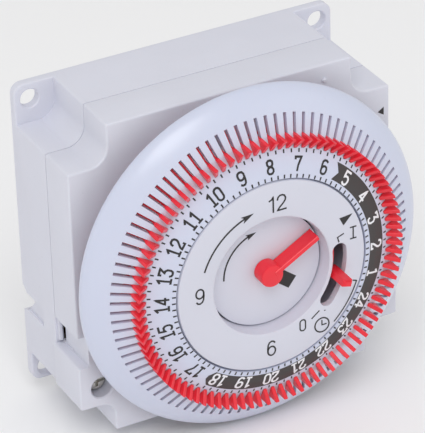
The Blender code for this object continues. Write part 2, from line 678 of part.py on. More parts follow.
# ---------------------------------------------------------------- motor
def make_motor():
    inner_r = MOTOR_R - MOTOR_WALL
    floor = MOTOR_REAR - MOTOR_WALL
    can = [(0.0, MOTOR_REAR), (MOTOR_R, MOTOR_REAR), (MOTOR_R, MOTOR_FRONT),
           (inner_r, MOTOR_FRONT), (inner_r, floor), (0.0, floor)]
    solid("motor_can", MOTOR_STEEL, revolve, can, 28, MOTOR)

    cover = solid("motor_cover", MOTOR_STEEL, rod, MOTOR_R, -11.1, -11.8, 28, MOTOR)
    cut(cover, prism_y, circle(MOTOR_PINION_AXIS, 0.8, 12), -13, -10)
    shade(cover)

    bobbin = [(5.3, -3.4), (11.4, -3.4), (11.4, -4.0), (6.1, -4.0), (6.1, -7.6), (11.4, -7.6),
              (11.4, -8.2), (5.3, -8.2)]
    solid("motor_bobbin", BLACK_PLASTIC, revolve, bobbin, 20, MOTOR)
    winding = [(6.25, -4.15), (10.9, -4.15), (10.9, -7.45), (6.25, -7.45)]
    solid("motor_winding", COPPER, revolve, winding, 20, MOTOR)
    rotor = [(0.0, -3.35), (0.5, -3.35), (0.5, -3.7), (4.7, -3.7), (4.7, -8.6), (0.5, -8.6),
             (0.5, -10.6), (0.0, -10.6)]
    solid("motor_rotor", ROTOR_BLACK, revolve, rotor, 16, MOTOR,
          origin=(MOTOR[0], -6.0, MOTOR[1]))


# ---------------------------------------------------------------- manual lever
def make_manual_lever():
    """Ring behind the centre plate, a post through the slot and a tail to the rear."""
    ring = [(13.8, -38.95), (15.0, -38.95), (15.0, -37.7), (13.8, -37.7)]
    post = [(-37.9, 0.8, 14.2, 16.3), (-44.6, 0.8, 14.3, 16.3), (-45.3, 0.45, 14.7, 15.9)]
    tail = [(y, 0.8, 13.9, 14.9) for y in (-38.5, -16.0)]
    lever = solid("manual_lever", CONTROL_RED, revolve, ring, 48)
    join(lever, radial_bar, LEVER_ANGLE, post)
    join(lever, radial_bar, LEVER_ANGLE, tail)
    shade(lever)


# ---------------------------------------------------------------- follower and switch
def make_follower():
    nose_x, nose_z = FOLLOWER_NOSE
    arm = [(24.9, -3.4), (25.2, 0.0), (28.4, nose_z + 0.6), (nose_x + 0.9, nose_z + 0.6),
           (30.2, nose_z - 1.6), (28.0, -1.0), (27.6, -3.6), (22.9, -7.6), (21.6, -6.4)]
    follower = solid("follower_lever", BLACK_PLASTIC, prism_y, arm, -22.2, -21.0,
                     origin=(FOLLOWER_AXIS[0], -21.5, FOLLOWER_AXIS[1]))
    # nose to the front, finger to the rear
    finger = [(21.75, -7.2), (22.6, -7.4), (22.8, -6.2), (21.9, -6.0)]
    join(follower, prism_y, circle(FOLLOWER_NOSE, 0.75, 10), -33.7, -21.5)
    join(follower, prism_y, finger, -21.5, -10.5)
    cut(follower, prism_y, circle(FOLLOWER_AXIS, 0.95, 14), -24, -19)
    shade(follower)

    solid("follower_pin", BRIGHT_STEEL, prism_y, circle(FOLLOWER_AXIS, 0.75, 14), -23.2, -17.0)

    # leaf spring that keeps the follower against the trippers
    leaf = [(33.9, 2.0), (33.9, 3.6), (32.1, 11.2), (31.8, 12.6), (31.55, 12.6), (31.8, 11.1),
            (33.55, 3.5), (33.55, 2.0)]
    solid("follower_spring", BRIGHT_STEEL, prism_y, leaf, -22.4, -20.4)


def make_switch():
    base = solid("switch_base", SWITCH_PLASTIC, box, x=(8.2, 24.6), y=(-14.8, -4.0),
                 z=(-32.4, -26.6))
    half_slot = 0.75
    for x in TAB_X:
        cut(base, box, x=(x - half_slot, x + half_slot), y=(-13.3, -5.7), z=(-34.5, -25.0))
    shade(base)

    # fixed blades, each with a contact button: name, x, z path, button z, button x span
    open_x, common_x, closed_x = TAB_X
    open_path = [(open_x, TAB_BOTTOM), (open_x, -27.2), (14.2, -22.0), (20.0, -14.0),
                 (20.0, -7.4)]
    closed_path = [(closed_x, TAB_BOTTOM), (closed_x, -26.4), (23.6, -21.0), (23.6, -16.0),
                   (23.6, -9.9)]
    for name, path, button_z, button_x in (("contact_no", open_path, -9.0, (20.1, 20.95)),
                                           ("contact_nc", closed_path, -11.2, (21.9, 23.5))):
        blade = solid(name, CONTACT_BRASS, prism_y, strip_outline(path, BLADE_T), *BLADE_Y)
        join(blade, prism_x, circle((CONTACT_Y, button_z), CONTACT_R, 12), x=button_x)
        shade(blade)

    # thin moving blade above its separate tab
    foot_z = -25.4
    path = [(common_x, foot_z), (18.6, -20.5), (21.45, -14.0), (21.45, -5.2)]
    solid("contact_common", CONTACT_BRASS, prism_y, strip_outline(path, 0.3), *BLADE_Y,
          origin=(common_x, CONTACT_Y, foot_z))
    solid("common_tab", CONTACT_BRASS, box, x=(common_x - BLADE_T / 2, common_x + BLADE_T / 2),
          y=BLADE_Y, z=(TAB_BOTTOM, -25.7))


# ---------------------------------------------------------------- terminals
def make_terminals():
    screw_profile = [(0.0, -24.4), (1.85, -24.4), (2.05, -24.2), (2.05, -22.3), (1.3, -22.3),
                     (1.3, -11.6), (0.0, -11.6)]
    half_slot = 0.3
    for side, label in zip(SIDES, ("left", "right")):
        x = side * TERMINAL_X
        axis = (x, TERMINAL_Z)
        screw = solid("terminal_screw_" + label, BRIGHT_STEEL, revolve, screw_profile, 16, axis,
                      origin=(x, -18.0, TERMINAL_Z))
        cut(screw, box, x=(x - 3, x + 3), y=(-25.5, -23.6),
            z=(TERMINAL_Z - half_slot, TERMINAL_Z + half_slot))
        shade(screw)

        clamp = solid("terminal_clamp_" + label, FRAME_BRASS, box,
                      x=(side * 29.3, side * 33.9), y=(-18.1, -10.4), z=(-25.5, -21.2))
        cut(clamp, prism_y, circle(axis, 1.5, 16), -20.0, -14.0)
        cut(clamp, box, x=(side * 29.9, side * 33.3), y=(-16.4, -11.2), z=(-27.0, -20.0))
        shade(clamp)


# ---------------------------------------------------------------- motor leads
def tube(bm, path, radius, segments=8):
    points = [Vector(p) for p in path]
    steps = [(b - a).normalized() for a, b in zip(points[:-1], points[1:])]
    rings = []
    for i, point in enumerate(points):
        along = (steps[max(i - 1, 0)] + steps[min(i, len(steps) - 1)]).normalized()
        rear = Vector((0, 1, 0))
        u = (rear - along * rear.dot(along)).normalized()
        v = along.cross(u)
        turns = [2 * math.pi * k / segments for k in range(segments)]
        rings.append([point + (u * math.cos(t) + v * math.sin(t)) * radius for t in turns])
    loop_solid(bm, rings)


def make_leads():
    # paths are x, y, z
    live = [(-22.4, -6.5, 10.0), (-24.5, -6.5, 8.0), (-28.5, -6.5, 2.0), (-30.0, -6.8, -8.0),
            (-30.6, -7.5, -16.0), (-31.0, -8.2, -22.0)]
    neutral = [(-9.0, -6.5, -2.8), (-9.0, -6.5, -8.0), (-4.0, -6.5, -18.0), (4.0, -6.0, -22.0),
               (16.0, -3.2, -23.6), (26.0, -3.2, -23.6), (30.0, -5.5, -23.2),
               (31.0, -8.2, -23.0)]
    lead_r = 0.7
    solid("lead_live", BROWN_WIRE, tube, live, lead_r, angle=60)
    solid("lead_neutral", BLUE_WIRE, tube, neutral, lead_r, angle=60)


# ---------------------------------------------------------------- build
def clear_scene():
    for existing in list(bpy.data.objects):
        bpy.data.objects.remove(existing, do_unlink=True)
    for mesh in list(bpy.data.meshes):
        bpy.data.meshes.remove(mesh)
    bpy.context.scene.unit_settings.system = 'METRIC'


clear_scene()
make_rear_case()
make_front_case()
make_centre_plate()
make_dial_ring()
make_dial_ring_gear()
make_dial_clip()
make_trippers()
make_hour_hand()
make_minute_hand()
make_centre_arbor()
make_motion_work()
make_going_train()
make_movement_frame()
make_motor()
make_manual_lever()
make_follower()
make_switch()
make_terminals()
make_leads()
bpy.context.view_layer.update()
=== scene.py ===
# A 24 hour plug-in timer movement in its case: notched case with mounting ears, domed dial with
# 96 red trippers, fixed centre plate, hour disc, minute hand and manual lever.
# Frame: X right, Z up, front faces -Y, origin on the dial axis in the mounting plane.
# Sizes are in millimetres. Clock angles are in degrees, clockwise from 12 as seen from the front.
import bpy
import bmesh
import math
from mathutils import Matrix, Vector


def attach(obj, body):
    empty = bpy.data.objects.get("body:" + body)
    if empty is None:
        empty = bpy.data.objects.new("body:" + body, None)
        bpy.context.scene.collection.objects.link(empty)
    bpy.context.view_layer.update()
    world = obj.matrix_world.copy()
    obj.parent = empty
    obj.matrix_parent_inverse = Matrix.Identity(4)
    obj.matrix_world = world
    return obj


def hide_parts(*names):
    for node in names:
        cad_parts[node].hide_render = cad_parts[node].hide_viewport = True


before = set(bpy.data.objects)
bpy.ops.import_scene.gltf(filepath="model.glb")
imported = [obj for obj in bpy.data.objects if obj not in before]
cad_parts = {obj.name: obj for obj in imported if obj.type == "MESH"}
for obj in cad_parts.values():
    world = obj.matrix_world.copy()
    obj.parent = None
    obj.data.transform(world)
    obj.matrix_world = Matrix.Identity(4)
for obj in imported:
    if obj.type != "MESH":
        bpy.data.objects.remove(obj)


def log_size():
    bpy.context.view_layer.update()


log_size()

# ---------------------------------------------------------------- dimensions
MM = 0.001
SIDES = (-1, 1)        # left, right

HALF_W = 36.0          # half width of the case
Z_TOP = 34.5           # top face of the case
Z_BOT = -34.5          # bottom face of the case
Y_SEAM = -15.2         # joint between the rear case and the front case
GAP = 0.15             # working gap at the joint
Y_FRONT_REAR = Y_SEAM - GAP    # rear edge of the front case
Y_FRONT = -25.3        # front face of the front case
WALL = 1.8             # case wall
FRONT_T = 2.0          # front wall thickness
BACK_T = 2.0           # back wall and ear thickness
NOTCH_T = 8.7          # notch at each top corner, full depth
NOTCH_TR = 4.0         # its inner radius
NOTCH_B = 6.9          # notch at each bottom corner
NOTCH_BR = 3.3
OUT_X = 37.0           # cutters through a side wall end here, clear of the case
Y_PAD = -27.0          # raised lower part of the front face
Z_PAD = -11.7          # its top edge
OVERLAP = 0.5          # how far parts joined to the front face reach into it
CORNER_R = 0.5         # fillet on the square corners of the case outline
MIN_FILLET = 0.06
EAR_R = 2.2            # outer corner radius of an ear
EAR_HOLE_R = 2.0       # screw hole in an ear
EAR_X = 32.6
EAR_ZT = 31.0
EAR_ZB = -31.6

DIAL_BORE_R = 20.95    # bearing bore for the dial sleeve in the front case
COLLAR_R = 22.6        # bearing collar on the front case
COLLAR_IN = 19.0       # collar before it is bored
COLLAR_Y = -30.0
SLEEVE_RO = 20.7       # dial sleeve, outer
SLEEVE_RI = 18.9       # dial sleeve, inner
SLEEVE_Y = -21.9       # rear end of the sleeve
GROOVE_R = 20.1        # groove round the sleeve
GROOVE_Y = (-23.15, -22.35)
DIAL_IN = 21.4         # inner edge of the dial face
DIAL_STEP_Y = -38.9    # rear edge of the step inside the dial face
DIAL_T = 1.2
# domed face of the dial: radius, y
DOME = [(21.2, -40.7), (24.0, -40.1), (27.0, -39.0), (33.5, -36.0), (35.5, -34.6)]
SLOTS = 96             # one per quarter of an hour
SLOT_PITCH = 360.0 / SLOTS
HOUR_PITCH = 360.0 / 24
SLOT_R0 = 27.05        # inner and outer end of a slot
SLOT_R1 = 33.45
SLOT_W = 0.72
DIAL_ZERO = 121.0      # clock angle of the 24 o'clock mark at rest

PLATE_R = 21.0         # fixed centre plate
PLATE_Y = -40.8
PLATE_T = 1.5
DISH_RO = 13.5         # outside of the sunken well for the hour disc
HOUR_R = 12.45         # hour disc
HOUR_Y = -37.6
KIDNEY_R = 15.3        # manual switch slot: middle radius, half width, end angles
KIDNEY_HW = 1.6
KIDNEY_A0 = 85.0
KIDNEY_A1 = 126.6
LEVER_A = 105.7        # rest position of the manual lever (automatic)
MINUTE_A = 61.0
HOUR_A = 128.0

TERM_X = 31.8          # terminal screw wells
TERM_Z = -23.3
WELL_R = 2.35

PRINT_LIFT = 0.03      # print on the dial stands this far above the surface
STROKE_LIFT = 0.04     # pen lines and flat figures
PRINT_SINK = 0.02      # underside of all print lies below the surface


# ---------------------------------------------------------------- plane geometry
def clock(angle, r, across=0.0):
    """x, z of the point at radius r, moved sideways (clockwise) by across."""
    a = math.radians(angle)
    return (r * math.sin(a) + across * math.cos(a), r * math.cos(a) - across * math.sin(a))


def arc(cx, cz, r, start, sweep, steps):
    """Points from start through sweep degrees, counted from +X towards +Z."""
    points = []
    for i in range(steps + 1):
        a = math.radians(start + sweep * i / steps)
        points.append((cx + r * math.cos(a), cz + r * math.sin(a)))
    return points


def circle(cx, cz, r, n):
    return [(cx + r * math.cos(2 * math.pi * i / n), cz + r * math.sin(2 * math.pi * i / n))
            for i in range(n)]


def mirrored(side, span):
    """An x span given for the right side, moved to the given side."""
    return sorted((side * span[0], side * span[1]))


def case_outline(inset):
    """Case outline with a notch at each corner, clockwise from the top left (x, z)."""
    steps = 14
    w, top, bottom = HALF_W - inset, Z_TOP - inset, Z_BOT + inset
    x_top, x_bot = HALF_W - NOTCH_T - inset, HALF_W - NOTCH_B - inset
    z_top, z_bot = Z_TOP - NOTCH_T - inset, Z_BOT + NOTCH_B + inset
    r_top, r_bot = NOTCH_TR + inset, NOTCH_BR + inset
    return ([(-x_top, top), (x_top, top)]
            + arc(x_top + r_top, z_top + r_top, r_top, 180, 90, steps)
            + [(w, z_top), (w, z_bot)]
            + arc(x_bot + r_bot, z_bot - r_bot, r_bot, 90, 90, steps)
            + [(x_bot, bottom), (-x_bot, bottom)]
            + arc(-x_bot - r_bot, z_bot - r_bot, r_bot, 0, 90, steps)
            + [(-w, z_bot), (-w, z_top)]
            + arc(-x_top - r_top, z_top + r_top, r_top, 270, 90, steps))


def fillet(points, r):
    """Rounds the square corners of an outline; the vertex count does not depend on r."""
    steps = 4
    out = []
    for i, point in enumerate(points):
        before, corner = Vector(points[i - 1]), Vector(point)
        after = Vector(points[(i + 1) % len(points)])
        d_in, d_out = (corner - before).normalized(), (after - corner).normalized()
        if d_in.dot(d_out) > 0.6:
            out.append(tuple(corner))
            continue
        centre = corner - d_in * r + d_out * r
        for k in range(steps + 1):
            a = math.radians(90.0 * k / steps)
            out.append(tuple(centre + d_in * r * math.sin(a) - d_out * r * math.cos(a)))
    return out


def fillet_r(corner, inset):
    return max(MIN_FILLET, corner - inset)


def outline(inset):
    return fillet(case_outline(inset), fillet_r(CORNER_R, inset))


def pad_outline(inset):
    """The part of the case outline below the top edge of the pad."""
    low = [p for p in case_outline(inset) if p[1] < Z_PAD]
    top = [(-HALF_W + inset, Z_PAD - inset), (HALF_W - inset, Z_PAD - inset)]
    return fillet(low + top, fillet_r(CORNER_R, inset))


def back_outline(inset):
    """Rounded rectangle of the back wall, whose corners are the ears."""
    r, steps = EAR_R - inset, 10
    x0, x1 = -HALF_W + inset, HALF_W - inset
    z0, z1 = Z_BOT + inset, Z_TOP - inset
    return (arc(x1 - r, z1 - r, r, 0, 90.0, steps) + arc(x0 + r, z1 - r, r, 90, 90.0, steps)
            + arc(x0 + r, z0 + r, r, 180, 90.0, steps) + arc(x1 - r, z0 + r, r, 270, 90.0, steps))


def cheek_outline(side):
    """Outline of the raised block down each side of the pad, as a function of inset."""
    x_in, x_out, z_low, z_high, corner = 34.2, 36.7, -27.55, -17.65, 0.55

    def shape(inset):
        return fillet([(side * x_in, z_low + inset), (side * (x_out - inset), z_low + inset),
                       (side * (x_out - inset), z_high - inset), (side * x_in, z_high - inset)],
                      fillet_r(corner, inset))
    return shape


# ---------------------------------------------------------------- solids in a bmesh
def vert(mesh, x, y, z):
    return mesh.verts.new(Vector((x, y, z)) * MM)


def loop_solid(mesh, rings):
    """Closed solid from equal-length rings of 3-D points."""
    loops = [[vert(mesh, *point) for point in ring] for ring in rings]
    n = len(loops[0])
    for a, b in zip(loops[:-1], loops[1:]):
        for i in range(n):
            j = (i + 1) % n
            mesh.faces.new((a[i], a[j], b[j], b[i]))
    mesh.faces.new(list(reversed(loops[0])))
    mesh.faces.new(loops[-1])


def prism_y(mesh, points, y0, y1):
    """Extrude an x,z polygon from y0 to y1."""
    loop_solid(mesh, [[(x, y, z) for x, z in points] for y in (y0, y1)])


def prism_x(mesh, points, x0, x1):
    """Extrude a y,z polygon from x0 to x1."""
    loop_solid(mesh, [[(x, y, z) for y, z in points] for x in (x0, x1)])


def box(mesh, xs, ys, zs):
    (x0, x1), (z0, z1) = xs, zs
    prism_y(mesh, [(x0, z0), (x1, z0), (x1, z1), (x0, z1)], *ys)


def revolve(mesh, profile, n, centre=(0.0, 0.0)):
    """Turn a closed r,y profile about the Y direction through centre (x,z)."""
    on_axis = 1e-9
    cx, cz = centre
    columns = []
    for i in range(n):
        a = 2 * math.pi * i / n
        columns.append([None if r < on_axis else
                        vert(mesh, cx + r * math.sin(a), y, cz + r * math.cos(a))
                        for r, y in profile])
    axis = {k: vert(mesh, cx, y, cz) for k, (r, y) in enumerate(profile) if r < on_axis}
    for i in range(n):
        here, there = columns[i], columns[(i + 1) % n]
        for k in range(len(profile)):
            q = (k + 1) % len(profile)
            if here[k] is None and here[q] is None:
                continue
            if here[k] is None:
                mesh.faces.new((axis[k], here[q], there[q]))
            elif here[q] is None:
                mesh.faces.new((here[k], axis[q], there[k]))
            else:
                mesh.faces.new((here[k], here[q], there[q], there[k]))


def rounded_prism(mesh, shape, y0, y1, front_r, rear_r):
    """Extrusion of shape(inset) from y0 back to y1 with both rims rounded."""
    steps = 4
    angles = [math.radians(90.0 * i / steps) for i in range(steps + 1)]
    rings = [[(x, y0 + front_r * (1 - math.cos(a)), z)
              for x, z in shape(front_r * (1 - math.sin(a)))] for a in angles]
    rings += [[(x, y1 - rear_r * (1 - math.sin(a)), z)
               for x, z in shape(rear_r * (1 - math.cos(a)))] for a in angles]
    loop_solid(mesh, rings)


def radial_bar(mesh, angle, levels):
    """Bar pointing along a clock angle; levels hold y, half width, inner r, outer r."""
    loop_solid(mesh, [[(x, y, z) for x, z in
                       (clock(angle, r0, -half), clock(angle, r1, -half),
                        clock(angle, r1, half), clock(angle, r0, half))]
                      for y, half, r0, r1 in levels])


def kidney(mesh, y0, y1):
    """Curved slot with round ends for the manual lever."""
    steps, end_steps = 36, 12
    a0, a1 = KIDNEY_A0, KIDNEY_A1
    points = []
    for r, start, end, turn in ((KIDNEY_R + KIDNEY_HW, a0, a1, 0.0),
                                (KIDNEY_R - KIDNEY_HW, a1, a0, math.pi)):
        for i in range(steps + 1):
            points.append(clock(start + (end - start) * i / steps, r))
        cx, cz = clock(end, KIDNEY_R)
        for i in range(1, end_steps):
            t = math.radians(end) + turn + math.pi * i / end_steps
            points.append((cx + KIDNEY_HW * math.sin(t), cz + KIDNEY_HW * math.cos(t)))
    prism_y(mesh, points, y0, y1)


# ---------------------------------------------------------------- materials
def srgb(rgb):
    """Linear colour from 0-255 display values."""
    out = []
    for v in rgb:
        v = v / 255.0
        out.append(v / 12.92 if v <= 0.04045 else ((v + 0.055) / 1.055) ** 2.4)
    return tuple(out)


def set_inputs(node, values):
    for name, value in values.items():
        node.inputs[name].default_value = value


def finish_material(name, rgb, rough, metal=0.0, grain=2600.0, bump=0.05, speck=0.0,
                    brushed=False, wear=0.04, coat=0.0, sss=0.0, drift=1.0):
    """Moulded or turned surface: fine grain in the bump, cloudy roughness, a few specks.

    grain is the noise scale of the bump, speck the strength of the dark specks, wear the
    depth of the colour drift, sss the subsurface weight, drift the spread of the roughness.
    """
    material = bpy.data.materials.new(name)
    material.use_nodes = True
    nodes, links = material.node_tree.nodes, material.node_tree.links
    surface = nodes["Principled BSDF"]
    set_inputs(surface, {"Metallic": metal, "Coat Weight": coat, "Coat Roughness": 0.25})
    if sss:
        set_inputs(surface, {"Subsurface Weight": sss, "Subsurface Scale": 1.0,
                             "Subsurface Radius": (0.0012, 0.0009, 0.0008)})
    coords = nodes.new("ShaderNodeTexCoord").outputs["Object"]
    mapping = nodes.new("ShaderNodeMapping")
    links.new(coords, mapping.inputs["Vector"])
    if brushed:
        # stretch the grain along Y
        mapping.inputs["Scale"].default_value = (1.0, 0.04, 1.0)

    def noise(vector, scale, detail):
        node = nodes.new("ShaderNodeTexNoise")
        set_inputs(node, {"Scale": scale, "Detail": detail})
        links.new(vector, node.inputs["Vector"])
        return node.outputs["Fac"]

    fine = noise(mapping.outputs["Vector"], scale=grain, detail=6.0)
    cloud = noise(coords, scale=90.0, detail=3.0)

    # slow colour drift
    base = srgb(rgb)
    ramp = nodes.new("ShaderNodeValToRGB")
    dark, light = ramp.color_ramp.elements
    dark.position = 0.3
    light.position = 0.7
    dark.color = tuple(v * (1.0 - wear) for v in base) + (1.0,)
    light.color = tuple(min(1.0, v * (1.0 + wear * 0.5)) for v in base) + (1.0,)
    links.new(cloud, ramp.inputs["Fac"])
    colour = ramp.outputs["Color"]
    if speck:
        # rare dark specks where a finer noise peaks
        spots = noise(coords, scale=900.0, detail=2.0)
        peak = nodes.new("ShaderNodeMapRange")
        set_inputs(peak, {"From Min": 0.70, "From Max": 0.76, "To Max": speck})
        links.new(spots, peak.inputs["Value"])
        mix = nodes.new("ShaderNodeMix")
        mix.data_type = 'RGBA'
        mix.inputs["B"].default_value = tuple(v * 0.55 for v in base) + (1.0,)
        links.new(peak.outputs["Result"], mix.inputs["Factor"])
        links.new(colour, mix.inputs["A"])
        colour = mix.outputs["Result"]
    links.new(colour, surface.inputs["Base Color"])

    rough_range = nodes.new("ShaderNodeMapRange")
    set_inputs(rough_range, {"To Min": max(0.05, rough - 0.07 * drift),
                             "To Max": rough + 0.08 * drift})
    links.new(cloud, rough_range.inputs["Value"])
    links.new(rough_range.outputs["Result"], surface.inputs["Roughness"])
    relief = nodes.new("ShaderNodeBump")
    set_inputs(relief, {"Strength": bump, "Distance": 0.00006})
    links.new(fine, relief.inputs["Height"])
    links.new(relief.outputs["Normal"], surface.inputs["Normal"])
    return material


BRUSHED = dict(metal=1.0, grain=1500, bump=0.12, brushed=True, wear=0.12)
MAT = {
    "shell": finish_material("m_shell", rgb=(216, 217, 228), rough=0.50, bump=0.16, speck=0.10,
                             sss=0.05, wear=0.02),
    "dial": finish_material("m_dial", rgb=(206, 211, 230), rough=0.28, bump=0.05, speck=0.05,
                            sss=0.08, coat=0.25, wear=0.004, drift=0.2),
    "plate": finish_material("m_plate", rgb=(212, 213, 225), rough=0.42, bump=0.08, speck=0.05,
                             sss=0.05, wear=0.012),
    "red": finish_material("m_red", rgb=(238, 34, 52), rough=0.36, bump=0.08, wear=0.08,
                           coat=0.15, sss=0.05),
    "ink": finish_material("m_ink", rgb=(46, 44, 45), rough=0.62, bump=0.04, wear=0.12),
    "band": finish_material("m_band", rgb=(66, 62, 62), rough=0.60, bump=0.06, wear=0.10),
    "white": finish_material("m_white_ink", rgb=(238, 238, 242), rough=0.55, bump=0.04),
    "brass": finish_material("m_brass", rgb=(206, 170, 96), rough=0.32, **BRUSHED),
    "steel": finish_material("m_steel", rgb=(186, 188, 192), rough=0.30, **BRUSHED),
    "nickel": finish_material("m_nickel", rgb=(214, 212, 204), rough=0.42, metal=0.75,
                              grain=1500, bump=0.12, wear=0.1),
    "nylon": finish_material("m_nylon", rgb=(230, 226, 212), rough=0.5, bump=0.08, sss=0.1),
    "black": finish_material("m_black", rgb=(38, 38, 40), rough=0.5, bump=0.15, wear=0.15),
    "copper": finish_material("m_copper", rgb=(184, 98, 56), rough=0.35, metal=1.0,
                              grain=5200, bump=0.4),
    "brown": finish_material("m_brown", rgb=(120, 72, 44), rough=0.5, bump=0.08),
    "blue": finish_material("m_blue", rgb=(52, 96, 168), rough=0.5, bump=0.08),
}


# ---------------------------------------------------------------- objects
def shade(mesh_data, sharp):
    """Smooth shading, with edges steeper than sharp degrees kept crisp."""
    mesh_data.shade_smooth()
    mesh_data.set_sharp_from_angle(angle=math.radians(sharp))


def to_object(name, mesh, sharp=None):
    bmesh.ops.remove_doubles(mesh, verts=mesh.verts, dist=2e-7)
    bmesh.ops.recalc_face_normals(mesh, faces=mesh.faces)
    data = bpy.data.meshes.new(name)
    mesh.to_mesh(data)
    mesh.free()
    o = bpy.data.objects.new(name, data)
    bpy.context.scene.collection.objects.link(o)
    if sharp:
        shade(data, sharp)
    return o


def new_solid(name, shape, *args, sharp=None, **options):
    """Object from one shape function called with the given arguments."""
    mesh = bmesh.new()
    shape(mesh, *args, **options)
    return to_object(name, mesh, sharp)


def boolean(o, operation, shape, *args, **options):
    tool = new_solid("tool", shape, *args, **options)
    modifier = o.modifiers.new("b", 'BOOLEAN')
    modifier.operation = operation
    modifier.solver = 'EXACT'
    modifier.object = tool
    bpy.context.view_layer.update()
    depsgraph = bpy.context.evaluated_depsgraph_get()
    data = bpy.data.meshes.new_from_object(o.evaluated_get(depsgraph))
    o.modifiers.clear()
    old = o.data
    o.data = data
    bpy.data.meshes.remove(old)
    bpy.data.objects.remove(tool, do_unlink=True)


def cut(o, shape, *args, **options):
    boolean(o, 'DIFFERENCE', shape, *args, **options)


def join(o, shape, *args, **options):
    boolean(o, 'UNION', shape, *args, **options)


def place(o, material, body, node=None):
    """Give o its material, make it ride on a body and stand in for a CAD node."""
    o.data.materials.clear()
    o.data.materials.append(MAT[material])
    for polygon in o.data.polygons:
        polygon.material_index = 0
    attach(o, body)
    if node:
        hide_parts(node)


# ---------------------------------------------------------------- rear case
# outlines cut into both side walls: y, z
BACK_NOTCH = [(1.0, -10.6), (-2.0, -13.0), (-5.6, -12.9), (-2.0, -16.9), (1.0, -18.3)]
SIDE_POCKET = [(-5.0, -13.1), (-9.5, -13.1), (-9.5, -17.0), (-1.9, -17.0)]
POST_X = (-22.5, 8.0)      # four posts standing on the back wall
POST_Z = (-13.0, 22.0)
POST_R = 2.2
POST_Y = -12.05
BOTTOM_SLOTS_X = (11.0, 16.0, 21.0)
BOTTOM_SLOT_HW = 1.2


def build_rear_case():
    rear = new_solid("case_rear", rounded_prism, back_outline, -BACK_T, 0.0,
                     front_r=0.35, rear_r=0.2)
    join(rear, rounded_prism, outline, Y_SEAM, -1.0, front_r=0.06, rear_r=0.02)
    cut(rear, prism_y, case_outline(WALL), Y_SEAM - 1.0, -BACK_T)
    for x in POST_X:
        for z in POST_Z:
            join(rear, prism_y, circle(x, z, POST_R, 24), POST_Y, -1.5)
    # countersunk ear holes
    hole = [(0.0, -3.0), (EAR_HOLE_R + 1.2, -3.0), (EAR_HOLE_R, -1.75), (EAR_HOLE_R, 1.0),
            (0.0, 1.0)]
    for x in (-EAR_X, EAR_X):
        for z in (EAR_ZT, EAR_ZB):
            cut(rear, revolve, hole, 48, (x, z))
    for points, x_in in ((BACK_NOTCH, 33.0), (SIDE_POCKET, 35.4)):
        for side in SIDES:
            cut(rear, prism_x, points, *mirrored(side, (x_in, OUT_X)))
    for side in SIDES:
        # tongue across the joint, and opening beside the bottom corner notch
        join(rear, box, mirrored(side, (34.9, 35.5)), (-16.2, -14.0), (-16.9, -11.9))
        cut(rear, box, mirrored(side, (28.8, 33.4)), (-14.6, -9.6), (-28.5, -24.5))
    for x in BOTTOM_SLOTS_X:
        cut(rear, box, (x - BOTTOM_SLOT_HW, x + BOTTOM_SLOT_HW), (-13.6, -5.4), (-37.0, -32.0))
    shade(rear.data, 38)
    place(rear, "shell", "case", "rear_case")


# ---------------------------------------------------------------- front case
RECESS_Z = -17.65          # bottom of the shallow recess in each side, above the cheek
WINDOW_Z = (-17.2, -11.6)  # opening in each side at the joint
INNER_FRONT = Y_FRONT + OVERLAP


def build_front_case():
    front = new_solid("case_front", rounded_prism, outline, Y_FRONT, Y_FRONT_REAR,
                      front_r=0.45, rear_r=0.14)
    cut(front, prism_y, case_outline(WALL), Y_FRONT + FRONT_T, Y_FRONT_REAR + 1.0)
    join(front, rounded_prism, pad_outline, Y_PAD, INNER_FRONT, front_r=0.4, rear_r=0.02)
    recess = [(-28.0, RECESS_Z), (-14.0, RECESS_Z), (-14.0, -11.5), (-28.0, -11.5)]
    for side in SIDES:
        # wall backing behind the side recess, then the recess
        join(front, box, mirrored(side, (32.6, 34.6)), (INNER_FRONT, -16.6), (-19.0, -10.0))
        cut(front, prism_x, recess, *mirrored(side, (34.4, OUT_X)))
        join(front, box, mirrored(side, (32.6, 34.6)), (-20.2, Y_FRONT_REAR), (-19.6, -17.3))
        # raised cheek outside, solid block for the terminal well inside
        join(front, rounded_prism, cheek_outline(side), Y_PAD + 0.03, Y_FRONT_REAR - 0.05,
             front_r=0.4, rear_r=0.08)
        join(front, box, mirrored(side, (26.6, 34.6)), (INNER_FRONT, Y_FRONT_REAR),
             (-26.6, -19.4))

    collar_root = Y_FRONT + 0.4
    join(front, revolve, [(COLLAR_IN, collar_root), (COLLAR_R, collar_root),
                          (COLLAR_R, COLLAR_Y), (COLLAR_IN, COLLAR_Y)], 128)
    cut(front, prism_y, circle(0, 0, DIAL_BORE_R, 128), -32.0, -20.0)

    z_low, z_high = WINDOW_Z
    window = [(Y_FRONT_REAR + 1.0, z_high), (-16.6, z_high), (-16.6, z_low),
              (Y_FRONT_REAR + 1.0, z_low)]
    for side in SIDES:
        cut(front, prism_x, window, *mirrored(side, (31.9, OUT_X)))
    for side in SIDES:
        # the joint stands a little open down each side
        cut(front, box, mirrored(side, (34.9, OUT_X)),
            (Y_FRONT_REAR - 0.14, Y_FRONT_REAR + 1.0), (-11.45, 27.0))
    # flared screw well, with a pocket behind it open to the rear
    well = [(0.0, -28.0), (WELL_R + 1.25, -28.0), (WELL_R, -26.75), (WELL_R, -17.4),
            (0.0, -17.4)]
    for side in SIDES:
        cut(front, revolve, well, 56, (side * TERM_X, TERM_Z))
        cut(front, box, mirrored(side, (28.9, 34.2)), (-18.4, Y_FRONT_REAR + 1.0),
            (-25.8, -20.9))
    # triangular hollow above the pad on the left, round hole at the upper right
    cut(front, prism_y, [(-34.4, -11.3), (-31.6, -11.3), (-34.4, -8.9)], -27.0, -24.1)
    cut(front, prism_y, circle(29.6, 14.5, 2.2, 40), -27.0, -22.0)
    shade(front.data, 38)
    place(front, "shell", "case", "front_case")


